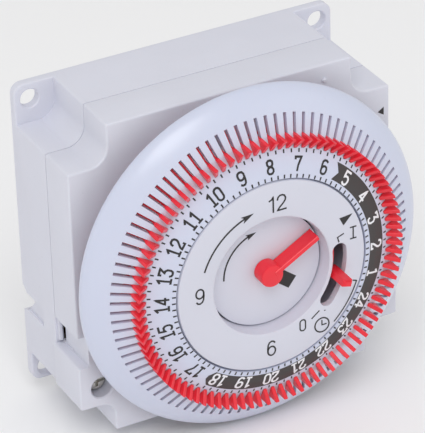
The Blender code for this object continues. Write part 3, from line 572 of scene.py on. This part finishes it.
def build_front_marks():
    """Small printed pointer and moulded pip on the front face."""
    pointer = new_solid("case_pointer", prism_y, [(33.3, 20.2), (34.7, 21.1), (34.7, 19.3)],
                        Y_FRONT - 0.03, Y_FRONT + 0.05)
    place(pointer, "ink", "case")
    pip = [(0.0, Y_FRONT - 0.45), (0.35, Y_FRONT - 0.4), (0.5, Y_FRONT - 0.2),
           (0.5, Y_FRONT + 0.1), (0.0, Y_FRONT + 0.1)]
    place(new_solid("case_pip", revolve, pip, 24, (21.0, 30.9), sharp=32.0), "shell", "case")


# ---------------------------------------------------------------- centre plate
PLATE_POST_ANGLES = (22.0, 175.0, 335.0)   # three posts behind the plate
PLATE_POST_RING = 16.2
PLATE_POST_R = 0.9


def build_centre_plate():
    plate_rear = PLATE_Y + PLATE_T
    well_rear = -36.4
    profile = [(PLATE_R - 0.3, PLATE_Y), (PLATE_R - 0.1, PLATE_Y + 0.08),
               (PLATE_R, PLATE_Y + 0.3), (PLATE_R, plate_rear), (DISH_RO, plate_rear),
               (DISH_RO, well_rear), (12.68, well_rear), (13.05, PLATE_Y + 0.2),
               (13.2, PLATE_Y + 0.05), (13.35, PLATE_Y)]
    plate = new_solid("centre_disc", revolve, profile, 160)
    for angle in PLATE_POST_ANGLES:
        x, z = clock(angle, PLATE_POST_RING)
        join(plate, prism_y, circle(x, z, PLATE_POST_R, 20), PLATE_Y + 1.0, -21.15)
    cut(plate, kidney, -42.0, -39.0)
    shade(plate.data, 32)
    place(plate, "plate", "case", "centre_plate")


# ---------------------------------------------------------------- dial
def dome_y(r):
    """Level of the domed dial face at radius r, within the span of DOME."""
    for (ra, ya), (rb, yb) in zip(DOME[:-1], DOME[1:]):
        if r <= rb:
            return ya + (yb - ya) * (r - ra) / (rb - ra)


def slot_angle(k):
    return DIAL_ZERO - SLOT_PITCH * k - SLOT_PITCH / 2


# stations on the face, from the inner edge to the slots and along the slots: radius
INNER_STATIONS = [DIAL_IN, 22.6, 24.0, 25.2]
SLOT_STATIONS = [SLOT_R0, 29.0, 31.0, SLOT_R1]
# rolled rim, outward over the edge and back underneath: radius, y
RIM = [(34.5, -35.32), (35.3, -34.76), (35.9, -34.25), (36.5, -33.7), (37.05, -33.1),
       (37.5, -32.45), (37.74, -31.9), (37.8, -31.4), (37.74, -31.05), (37.55, -30.92),
       (37.3, -30.9), (36.95, -31.0), (36.6, -31.6), (36.2, -32.3), (35.6, -33.0),
       (34.7, dome_y(34.7) + DIAL_T)]


def dial_profile():
    """Closed r,y profile: face, rim, underside, sleeve with its groove, inner step."""
    groove_front, groove_rear = GROOVE_Y
    root = 25.6
    root_y = dome_y(root) + DIAL_T
    sleeve = [(root, root_y), (SLEEVE_RO, root_y), (SLEEVE_RO, groove_front),
              (GROOVE_R, groove_front), (GROOVE_R, groove_rear), (SLEEVE_RO, groove_rear),
              (SLEEVE_RO, SLEEVE_Y), (SLEEVE_RI, SLEEVE_Y), (SLEEVE_RI, DIAL_STEP_Y),
              (DIAL_IN, DIAL_STEP_Y)]
    return ([(r, dome_y(r)) for r in INNER_STATIONS + SLOT_STATIONS] + RIM
            + [(r, dome_y(r) + DIAL_T) for r in reversed(SLOT_STATIONS)] + sleeve)


def build_dial():
    profile = dial_profile()
    count = len(profile)
    steps = len(SLOT_STATIONS) - 1
    top_in = len(INNER_STATIONS)           # profile indices of the slot ends, on the face
    top_out = top_in + steps
    under_out = top_out + 1 + len(RIM)     # and on the underside
    under_in = under_out + steps
    mesh = bmesh.new()
    pairs = []                             # profile columns on the two edges of each slot
    for k in range(SLOTS):
        a = math.radians(slot_angle(k))
        pair = []
        for side in SIDES:
            column = []
            for r, y in profile:
                # columns run parallel outside this radius and converge inside it
                offset = side * (SLOT_W / 2 / max(r, 24.0))
                column.append(vert(mesh, r * math.sin(a + offset), y, r * math.cos(a + offset)))
            pair.append(column)
        pairs.append(pair)
    for k, (near, far) in enumerate(pairs):
        for j in range(count):
            q = (j + 1) % count
            if not (top_in <= j < top_out or under_out <= j < under_in):
                mesh.faces.new((near[j], near[q], far[q], far[j]))
        following = pairs[k - 1][0]
        for j in range(count):
            q = (j + 1) % count
            mesh.faces.new((far[j], far[q], following[q], following[j]))
        # walls of the slot
        for t in range(steps):
            for column in (near, far):
                mesh.faces.new((column[top_in + t], column[top_in + t + 1],
                                column[under_in - t - 1], column[under_in - t]))
        mesh.faces.new((near[top_in], far[top_in], far[under_in], near[under_in]))
        mesh.faces.new((near[top_out], far[top_out], far[under_out], near[under_out]))
    place(to_object("dial_face", mesh, 34), "dial", "dial", "dial_ring")


# ---------------------------------------------------------------- trippers
# slot number of each tripper that moves by itself
LOOSE = {3: "tripper_0045", 16: "tripper_0400", 20: "tripper_0500", 32: "tripper_0800",
         36: "tripper_0900", 80: "tripper_2000"}
HEAD_HW = 0.82 / 2         # half width of a head
HEAD_EDGE = 0.07           # bevel on its two flanks
HEAD_R0, HEAD_R1 = 27.15, 29.75
WEB_HW = 0.2
WEB_REAR = -33.3
WEB_OUT = 33.2             # outer end of the long web


def fin(mesh, k, long=False):
    """Head wider than the slot, standing on the dome, and a thin web down through it."""
    r0, r1 = HEAD_R0, HEAD_R1
    w0, w1 = r0 + 0.05, r1 - 0.05

    def layer(profile, across):
        points = []
        for r, y in profile:
            x, z = clock(slot_angle(k), r, across)
            points.append((x, y, z))
        return points

    head = [(r0, dome_y(r0) - 0.06), (r1 - 0.16, -41.08), (r1 - 0.04, -41.1), (r1, -40.98),
            (r1, dome_y(r1) - 0.06)]
    flank = [(r0 + 0.16, dome_y(r0) - 0.1), (r1 - 0.2, -40.98), (r1 - 0.12, -41.0),
             (r1 - 0.07, -40.9), (r1 - 0.07, dome_y(r1) - 0.08)]
    loop_solid(mesh, [layer(flank, -HEAD_HW), layer(head, -HEAD_HW + HEAD_EDGE),
                      layer(head, HEAD_HW - HEAD_EDGE), layer(flank, HEAD_HW)])
    if long:
        outer = [(w1, dome_y(r1) + DIAL_T + 0.2), (WEB_OUT, dome_y(WEB_OUT) + DIAL_T + 0.2),
                 (WEB_OUT, -34.2)]
        inner = [(w0, -36.7)]
    else:
        outer = [(w1, WEB_REAR)]
        inner = [(27.75, -36.5), (27.75, -37.0), (w0, -37.0)]
    web = ([(w0, dome_y(r0) - 0.12), (w1, dome_y(r1) - 0.12)] + outer
           + [(28.3, WEB_REAR), (28.3, -36.4)] + inner)
    loop_solid(mesh, [layer(web, -WEB_HW), layer(web, WEB_HW)])


def build_trippers():
    mesh = bmesh.new()
    for k in range(SLOTS):
        if k not in LOOSE:
            fin(mesh, k, long=True)
    # ring under the dial that ties the fixed trippers together
    revolve(mesh, [(25.2, -36.9), (27.6, -36.9), (27.6, -36.0), (25.2, -36.0)], 96)
    place(to_object("tripper_row", mesh, 30), "red", "dial", "tripper_set")
    for k, name in LOOSE.items():
        place(new_solid("red_" + name, fin, k, sharp=30), "red", name, name)


# ---------------------------------------------------------------- dial band and ticks
def dial_print_vert(mesh, angle, r, lift):
    x, z = clock(angle, r)
    return vert(mesh, x, dome_y(r) - lift, z)


def close_sheet(mesh, top, low):
    """Thin closed solid between two equal grids of vertices."""
    rows, columns = len(top), len(top[0])
    for i in range(rows - 1):
        for j in range(columns - 1):
            mesh.faces.new((top[i][j], top[i + 1][j], top[i + 1][j + 1], top[i][j + 1]))
            mesh.faces.new((low[i][j], low[i][j + 1], low[i + 1][j + 1], low[i + 1][j]))
        for j in (0, -1):
            mesh.faces.new((top[i][j], low[i][j], low[i + 1][j], top[i + 1][j]))
    for i in (0, -1):
        for j in range(columns - 1):
            mesh.faces.new((top[i][j], top[i][j + 1], low[i][j + 1], low[i][j]))


def build_band():
    """Dark half of the scale with its swallow tail and blunt point."""
    r_in, width = 22.5, 3.5
    start_angle, tail_depth = 37.5, 2.6
    end_angle, point_depth, point_flat = 217.7, 2.7, 0.25
    steps, columns = 150, 8
    mesh = bmesh.new()
    top, low = [], []
    for i in range(steps + 1):
        top.append([])
        low.append([])
        for j in range(columns + 1):
            f = j / columns
            edge = abs(2 * f - 1)          # 0 in the middle of the band, 1 at its edges
            start = start_angle + tail_depth * (1 - edge)
            end = end_angle - point_depth * max(0.0, (edge - point_flat) / (1 - point_flat))
            angle = start + (end - start) * i / steps
            for grid, lift in ((top, PRINT_LIFT), (low, -PRINT_SINK)):
                grid[-1].append(dial_print_vert(mesh, angle, r_in + width * f, lift))
    close_sheet(mesh, top, low)
    place(to_object("print_band", mesh), "band", "dial")


def build_ticks():
    """A tick at each end of every quarter-hour line."""
    half_width = 0.155
    # inner r, outer r, radius at which the width is measured
    rows = ((21.45, 22.2, 21.8), (26.3, 27.0, 26.7))
    mesh = bmesh.new()
    for k in range(SLOTS):
        middle = DIAL_ZERO - SLOT_PITCH * k
        for r0, r1, r_mid in rows:
            half = math.degrees(half_width / r_mid)
            top, low = [[[dial_print_vert(mesh, angle, r0 + (r1 - r0) * j / 4, lift)
                          for j in range(5)] for angle in (middle - half, middle + half)]
                        for lift in (PRINT_LIFT, -PRINT_SINK)]
            close_sheet(mesh, top, low)
    place(to_object("print_ticks", mesh), "ink", "dial")


# ---------------------------------------------------------------- pen-drawn figures
# narrow upright figures as strokes in a box 0.5 wide and 1 high
NARROW = {
    "0": [[(0.0, 0.2), (0.0, 0.8), (0.06, 0.93), (0.17, 1.0), (0.33, 1.0), (0.44, 0.93),
           (0.5, 0.8), (0.5, 0.2), (0.44, 0.07), (0.33, 0.0), (0.17, 0.0), (0.06, 0.07),
           (0.0, 0.2)]],
    "1": [[(0.06, 0.82), (0.26, 1.0), (0.26, 0.0)], [(0.06, 0.0), (0.46, 0.0)]],
    "2": [[(0.0, 0.78), (0.03, 0.9), (0.14, 1.0), (0.36, 1.0), (0.47, 0.9), (0.5, 0.74),
           (0.44, 0.58), (0.08, 0.2), (0.0, 0.0), (0.5, 0.0), (0.5, 0.14)]],
    "3": [[(0.0, 0.86), (0.0, 1.0), (0.5, 1.0), (0.22, 0.62), (0.38, 0.6), (0.5, 0.45),
           (0.5, 0.18), (0.4, 0.03), (0.28, 0.0), (0.16, 0.0), (0.04, 0.06), (0.0, 0.18)]],
    "4": [[(0.38, 0.0), (0.38, 1.0), (0.0, 0.28), (0.54, 0.28)]],
    "5": [[(0.48, 1.0), (0.04, 1.0), (0.0, 0.54), (0.14, 0.63), (0.34, 0.62), (0.47, 0.5),
           (0.5, 0.32), (0.46, 0.12), (0.34, 0.0), (0.14, 0.0), (0.02, 0.1)]],
    "6": [[(0.46, 0.92), (0.34, 1.0), (0.16, 1.0), (0.04, 0.88), (0.0, 0.66), (0.0, 0.18),
           (0.08, 0.04), (0.2, 0.0), (0.32, 0.0), (0.44, 0.06), (0.5, 0.2), (0.5, 0.38),
           (0.44, 0.52), (0.3, 0.58), (0.16, 0.56), (0.0, 0.42)]],
    "7": [[(0.0, 0.86), (0.0, 1.0), (0.5, 1.0), (0.24, 0.4), (0.2, 0.0)]],
    "8": [[(0.25, 0.54), (0.1, 0.6), (0.03, 0.72), (0.04, 0.9), (0.16, 1.0), (0.34, 1.0),
           (0.46, 0.9), (0.47, 0.72), (0.4, 0.6), (0.25, 0.54), (0.08, 0.46), (0.0, 0.32),
           (0.0, 0.16), (0.1, 0.03), (0.24, 0.0), (0.4, 0.03), (0.5, 0.16), (0.5, 0.32),
           (0.42, 0.46), (0.25, 0.54)]],
    "9": [[(0.04, 0.08), (0.16, 0.0), (0.34, 0.0), (0.46, 0.12), (0.5, 0.34), (0.5, 0.82),
           (0.42, 0.96), (0.3, 1.0), (0.18, 1.0), (0.06, 0.94), (0.0, 0.8), (0.0, 0.62),
           (0.06, 0.48), (0.2, 0.42), (0.34, 0.44), (0.5, 0.58)]],
    "I": [[(0.25, 0.0), (0.25, 1.0)], [(0.0, 0.0), (0.5, 0.0)], [(0.0, 1.0), (0.5, 1.0)]],
}


def oval(cx, cz, rx, rz, n):
    return [(cx + rx * math.cos(math.radians(360 * i / n)),
             cz + rz * math.sin(math.radians(360 * i / n))) for i in range(n + 1)]


# plain round figures for the clock face
ROUND = {
    "1": [[(0.04, 0.78), (0.2, 0.84), (0.3, 1.0), (0.3, 0.0)]],
    "2": [[(0.02, 0.72), (0.06, 0.88), (0.18, 0.98), (0.34, 0.99), (0.48, 0.92), (0.55, 0.76),
           (0.52, 0.6), (0.4, 0.44), (0.16, 0.22), (0.02, 0.03), (0.58, 0.03)]],
    "6": [oval(0.29, 0.32, 0.26, 0.31, 24),
          [(0.52, 0.86), (0.44, 0.96), (0.3, 1.0), (0.15, 0.93), (0.06, 0.76), (0.03, 0.5),
           (0.04, 0.3)]],
    "9": [oval(0.29, 0.68, 0.26, 0.31, 24),
          [(0.06, 0.14), (0.14, 0.04), (0.28, 0.0), (0.43, 0.07), (0.52, 0.24), (0.55, 0.5),
           (0.54, 0.7)]],
}
NARROW_WIDTHS = {figure: 0.5 for figure in NARROW}
ROUND_WIDTHS = {"1": 0.4, "2": 0.58, "6": 0.58, "9": 0.58}


def subdivide(points, spacing):
    out = []
    for p, q in zip(points[:-1], points[1:]):
        n = max(1, int(math.ceil(math.dist(p, q) / spacing)))
        for i in range(n):
            out.append((p[0] + (q[0] - p[0]) * i / n, p[1] + (q[1] - p[1]) * i / n))
    out.append(points[-1])
    return out


def stroke(mesh, points, half, put, spacing=0.25):
    """A pen line of the given half width along points, laid on the surface by put(u, v, lift)."""
    path = subdivide(points, spacing)
    closed = math.dist(points[0], points[-1]) < 1e-6
    if closed:
        path = path[:-1]
    n = len(path)
    edges = []                             # left and right edge point at each path point
    for i, (u, v) in enumerate(path):
        headings = []
        if i > 0 or closed:
            before = path[i - 1]
            headings.append(Vector((u - before[0], v - before[1])).normalized())
        if i < n - 1 or closed:
            after = path[(i + 1) % n]
            headings.append(Vector((after[0] - u, after[1] - v)).normalized())
        along = sum(headings, Vector((0, 0))).normalized()
        mitre = 1.0
        if len(headings) == 2:
            mitre = min(1.6, 1.0 / max(0.4, along.dot(headings[1])))
        side_u, side_v = -along.y * half * mitre, along.x * half * mitre
        # both ends of an open line reach a little further
        reach = 0.0
        if not closed and i in (0, n - 1):
            reach = (-0.6 if i == 0 else 0.6) * half
        end_u, end_v = along.x * reach, along.y * reach
        edges.append(((u + side_u + end_u, v + side_v + end_v),
                      (u - side_u + end_u, v - side_v + end_v)))
    up, low = [[[vert(mesh, *put(u, v, lift)) for u, v in pair] for pair in edges]
               for lift in (STROKE_LIFT, -PRINT_SINK)]
    for i in range(n if closed else n - 1):
        j = (i + 1) % n
        mesh.faces.new((up[i][0], up[j][0], up[j][1], up[i][1]))
        mesh.faces.new((low[i][0], low[i][1], low[j][1], low[j][0]))
        mesh.faces.new((up[i][0], low[i][0], low[j][0], up[j][0]))
        mesh.faces.new((up[i][1], up[j][1], low[j][1], low[i][1]))
    if not closed:
        mesh.faces.new((up[0][0], up[0][1], low[0][1], low[0][0]))
        mesh.faces.new((up[-1][0], low[-1][0], low[-1][1], up[-1][1]))


def word(mesh, text, height, half, put, gap=0.22, figures=NARROW, widths=NARROW_WIDTHS):
    """Figures centred on the origin of put; gap is a fraction of the height."""
    total = sum(widths[figure] for figure in text) + gap * (len(text) - 1)
    x = -total / 2
    for figure in text:
        for line in figures[figure]:
            stroke(mesh, [((x + u) * height, (v - 0.5) * height) for u, v in line], half, put)
        x += widths[figure] + gap


def on_dial(angle, r_mid, base_lift):
    """Lays u along the scale and v outwards on the domed face."""
    def put(u, v, lift):
        r = r_mid + v
        a = math.radians(angle) + u / r_mid
        return (r * math.sin(a), dome_y(r) - base_lift - lift, r * math.cos(a))
    return put


def on_flat(cx, cz, y):
    """Lays u, v as x, z about a centre on a flat face at level y."""
    def put(u, v, lift):
        return (cx + u, y - lift, cz + v)
    return put


def flat_poly(mesh, points, put):
    up = [vert(mesh, *put(x, z, STROKE_LIFT)) for x, z in points]
    low = [vert(mesh, *put(x, z, -PRINT_SINK)) for x, z in points]
    mesh.faces.new(up)
    mesh.faces.new(list(reversed(low)))
    for i in range(len(points)):
        j = (i + 1) % len(points)
        mesh.faces.new((up[i], low[i], low[j], up[j]))


def arc_line(mesh, r, a0, a1, half, put):
    n = max(6, int(abs(a1 - a0) / 3))
    points = [clock(a0 + (a1 - a0) * i / n, r) for i in range(n + 1)]
    stroke(mesh, points, half, put, spacing=0.6)


def arrow(mesh, r, a0, a1, half, head_length, head_width, put):
    """Curved arrow from clock angle a0 to its tip at a1, with a notched head."""
    arc_line(mesh, r, a0, a1 - math.degrees(head_length * 0.8 / r), half, put)
    barb = a1 - math.degrees(head_length / r)
    flat_poly(mesh, [clock(a1, r), clock(barb, r + head_width / 2), clock(barb + 2.2, r),
                     clock(barb, r - head_width / 2)], put)


def build_hour_numerals():
    dark, light = bmesh.new(), bmesh.new()
    for hour in range(1, 25):
        on_band = hour <= 5 or hour >= 18
        put = on_dial(DIAL_ZERO - HOUR_PITCH * hour, 24.15, PRINT_LIFT if on_band else 0.0)
        word(light if on_band else dark, str(hour), height=2.6, half=0.21, put=put, gap=0.2)
    place(to_object("print_hours_dark", dark), "ink", "dial")
    place(to_object("print_hours_light", light), "white", "dial")


def build_plate_print():
    mesh = bmesh.new()
    # text, height, centre x, centre z, gap
    for text, height, x, z, gap in (("12", 3.4, 1.4, 16.2, 0.16), ("9", 3.3, -16.2, 0.4, 0.1),
                                    ("6", 3.3, -0.6, -16.6, 0.1)):
        word(mesh, text, height, 0.17, on_flat(x, z, PLATE_Y), gap, ROUND, ROUND_WIDTHS)
    word(mesh, "I", height=2.6, half=0.14, put=on_flat(18.4, 4.5, PLATE_Y))
    word(mesh, "0", height=2.5, half=0.14, put=on_flat(6.6, -13.5, PLATE_Y))
    put = on_flat(0, 0, PLATE_Y)
    arrow(mesh, r=16.0, a0=-69.5, a1=-14.0, half=0.18, head_length=2.7, head_width=1.6, put=put)
    # slim triangle pointing outwards
    tip_angle, base_half = 63.9, math.degrees(1.03 / 17.5)
    flat_poly(mesh, [clock(tip_angle, 20.3), clock(tip_angle + base_half, 17.55),
                     clock(tip_angle - base_half, 17.55)], put)
    # small clock symbol: rim, then its hands; then short lines round the kidney slot
    stroke(mesh, oval(11.0, -14.8, 1.62, 1.62, 40), 0.15, put)
    for points in ([(11.0, -13.75), (11.0, -14.8), (12.0, -14.8)],
                   [(16.2, 4.9), (14.8, 4.4), (15.1, 3.3)],
                   [(8.7, -12.6), (10.4, -11.3)],
                   [(18.3, -6.6), (19.1, -6.9)]):
        stroke(mesh, points, 0.13, put)
    arc_line(mesh, r=20.3, a0=110.0, a1=137.0, half=0.13, put=put)
    stroke(mesh, [(11.6, -11.6), (11.8, -11.6)], 0.1, put)
    place(to_object("print_plate", mesh), "ink", "case")


# ---------------------------------------------------------------- hour disc and minute hand
def build_hour_disc():
    hub_r, hub_bore, hub_rear = 2.1, 1.25, -23.2
    profile = [(HOUR_R - 0.1, HOUR_Y), (HOUR_R, HOUR_Y + 0.1), (HOUR_R, HOUR_Y + 1.0),
               (hub_r, HOUR_Y + 1.0), (hub_r, hub_rear), (hub_bore, hub_rear),
               (hub_bore, HOUR_Y)]
    place(new_solid("hour_dial", revolve, profile, 160, sharp=32), "plate", "hour", "hour_disc")
    mesh = bmesh.new()
    put = on_flat(0, 0, HOUR_Y)
    r0, r1, half = 1.6, 7.8, 1.45          # broad bar of the hour mark
    flat_poly(mesh, [clock(HOUR_A, r0, -half), clock(HOUR_A, r1, -half),
                     clock(HOUR_A, r1, half), clock(HOUR_A, r0, half)], put)
    arrow(mesh, r=9.2, a0=-89.0, a1=-11.0, half=0.17, head_length=2.2, head_width=1.35, put=put)
    place(to_object("print_hour_disc", mesh), "ink", "hour")


def build_minute_hand():
    hub = [(0.0, -40.9), (2.1, -40.9), (2.35, -40.82), (2.45, -40.6), (2.45, -37.75),
           (1.05, -37.75), (1.05, -39.3), (0.0, -39.3)]
    hand = new_solid("minute_pointer", revolve, hub, 72)
    join(hand, radial_bar, MINUTE_A, ((-37.8, 0.56, 0.9, 11.98), (-40.95, 0.50, 0.9, 11.95),
                                      (-41.1, 0.38, 0.9, 11.82)))
    shade(hand.data, 35)
    place(hand, "red", "minute", "minute_hand")


# ---------------------------------------------------------------- manual lever
def build_lever():
    """Ring behind the plate, knob out through the kidney slot and finger to the rear."""
    ring = [(13.8, -38.95), (15.0, -38.95), (15.0, -37.7), (13.8, -37.7)]
    lever = new_solid("auto_lever", revolve, ring, 128)
    join(lever, radial_bar, LEVER_A, ((-37.9, 0.8, 14.2, 16.3), (-44.6, 0.8, 14.3, 16.3),
                                      (-45.3, 0.45, 14.7, 15.9)))
    join(lever, radial_bar, LEVER_A, ((-38.5, 0.8, 13.9, 14.9), (-16.0, 0.8, 13.9, 14.9)))
    shade(lever.data, 28)
    place(lever, "red", "lever", "manual_lever")


# ---------------------------------------------------------------- terminal screws
def build_terminal_screws():
    profile = [(0.0, -24.4), (1.0, -24.38), (1.75, -24.3), (1.98, -24.1), (2.05, -23.9),
               (2.05, -22.3), (1.3, -22.3), (1.3, -11.6), (0.0, -11.6)]
    # cross recess in the head: half extent in x, half extent in z, bottom y
    recess = ((3, 0.3, -23.6), (0.3, 1.25, -23.7))
    for side, name in zip(SIDES, ("left", "right")):
        x = side * TERM_X
        screw = new_solid("clamp_screw_" + name, revolve, profile, 64, (x, TERM_Z))
        for half_x, half_z, bottom in recess:
            cut(screw, box, (x - half_x, x + half_x), (-25.5, bottom),
                (TERM_Z - half_z, TERM_Z + half_z))
        shade(screw.data, 35)
        place(screw, "nickel", "screw_" + name, "terminal_screw_" + name)


# ---------------------------------------------------------------- carried-over CAD nodes
CARRY = {
    "nylon": ["dial_ring_gear", "hour_wheel", "minute_wheel", "intermediate_wheel"],
    "steel": ["dial_clip", "centre_arbor", "follower_pin", "follower_spring", "motor_can",
              "motor_cover", "pillar_1", "pillar_2", "pillar_3", "pillar_4"],
    "black": ["switch_base", "motor_bobbin", "follower_lever", "motor_rotor"],
    "copper": ["motor_winding"],
    "brown": ["lead_live"],
    "blue": ["lead_neutral"],
    "brass": ["movement_plate_rear", "movement_plate_front", "cannon_pinion", "clutch_wheel",
              "dial_drive_pinion", "motor_pinion", "contact_no", "contact_nc",
              "contact_common", "common_tab", "terminal_clamp_left", "terminal_clamp_right"],
}


def finish_cad_nodes():
    for material, names in CARRY.items():
        for name in names:
            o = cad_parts[name]
            if not o.material_slots:
                o.data.materials.append(MAT[material])
            for slot in o.material_slots:
                slot.material = MAT[material]


# ---------------------------------------------------------------- floor, light, camera
FLOOR_Z = -38.4


def build_floor():
    mesh = bmesh.new()
    bmesh.ops.create_grid(mesh, x_segments=1, y_segments=1, size=3.0)
    for v in mesh.verts:
        v.co.z = FLOOR_Z * MM
    floor = to_object("floor", mesh)
    material = bpy.data.materials.new("m_floor")
    material.use_nodes = True
    set_inputs(material.node_tree.nodes["Principled BSDF"],
               {"Base Color": (0.97, 0.97, 0.975, 1.0), "Roughness": 0.85})
    floor.data.materials.append(material)


def area_light(name, location, size, power):
    """Square lamp aimed at the timer; location and size in metres, power in watts."""
    light = bpy.data.lights.new(name, 'AREA')
    light.size = size
    light.energy = power
    o = bpy.data.objects.new(name, light)
    o.location = location
    aim = Vector((0, -0.02, 0)) - Vector(location)
    o.rotation_euler = aim.to_track_quat('-Z', 'Y').to_euler()
    bpy.context.scene.collection.objects.link(o)


def build_lights():
    world = bpy.data.worlds.new("studio")
    world.use_nodes = True
    set_inputs(world.node_tree.nodes["Background"],
               {"Color": (1.0, 1.0, 1.0, 1.0), "Strength": 0.66})
    bpy.context.scene.world = world
    area_light("key", location=(-0.30, -0.55, 0.75), size=0.50, power=3.1)
    area_light("fill", location=(0.60, -0.50, 0.30), size=0.60, power=0.5)
    area_light("side", location=(-0.75, 0.10, 0.25), size=0.50, power=0.25)


def build_camera():
    data = bpy.data.cameras.new("camera")
    camera = bpy.data.objects.new("camera", data)
    bpy.context.scene.collection.objects.link(camera)
    # view axes in the frame, and the frame's origin measured along them
    right = Vector((0.881104, -0.472076, -0.028275))
    down = Vector((-0.260063, -0.433721, -0.862701))
    forward = Vector((0.394997, 0.767483, -0.504923))
    origin = Vector((-7.4171, -5.8855, 673.0084)) * MM
    position = -(right * origin.x + down * origin.y + forward * origin.z)
    pose = Matrix.Identity(4)
    for i in range(3):
        pose[i] = (right[i], -down[i], -forward[i], position[i])
    camera.matrix_world = pose
    data.sensor_fit = 'HORIZONTAL'
    data.sensor_width = 36.0
    data.lens = 275.879147
    data.clip_start = 0.01
    data.clip_end = 20.0
    bpy.context.scene.camera = camera
    bpy.context.scene.view_settings.view_transform = 'Standard'


build_rear_case()
build_front_case()
build_front_marks()
build_centre_plate()
build_dial()
build_trippers()
build_band()
build_ticks()
build_hour_numerals()
build_plate_print()
build_hour_disc()
build_minute_hand()
build_lever()
build_terminal_screws()
finish_cad_nodes()
build_floor()
build_lights()
build_camera()
log_size()
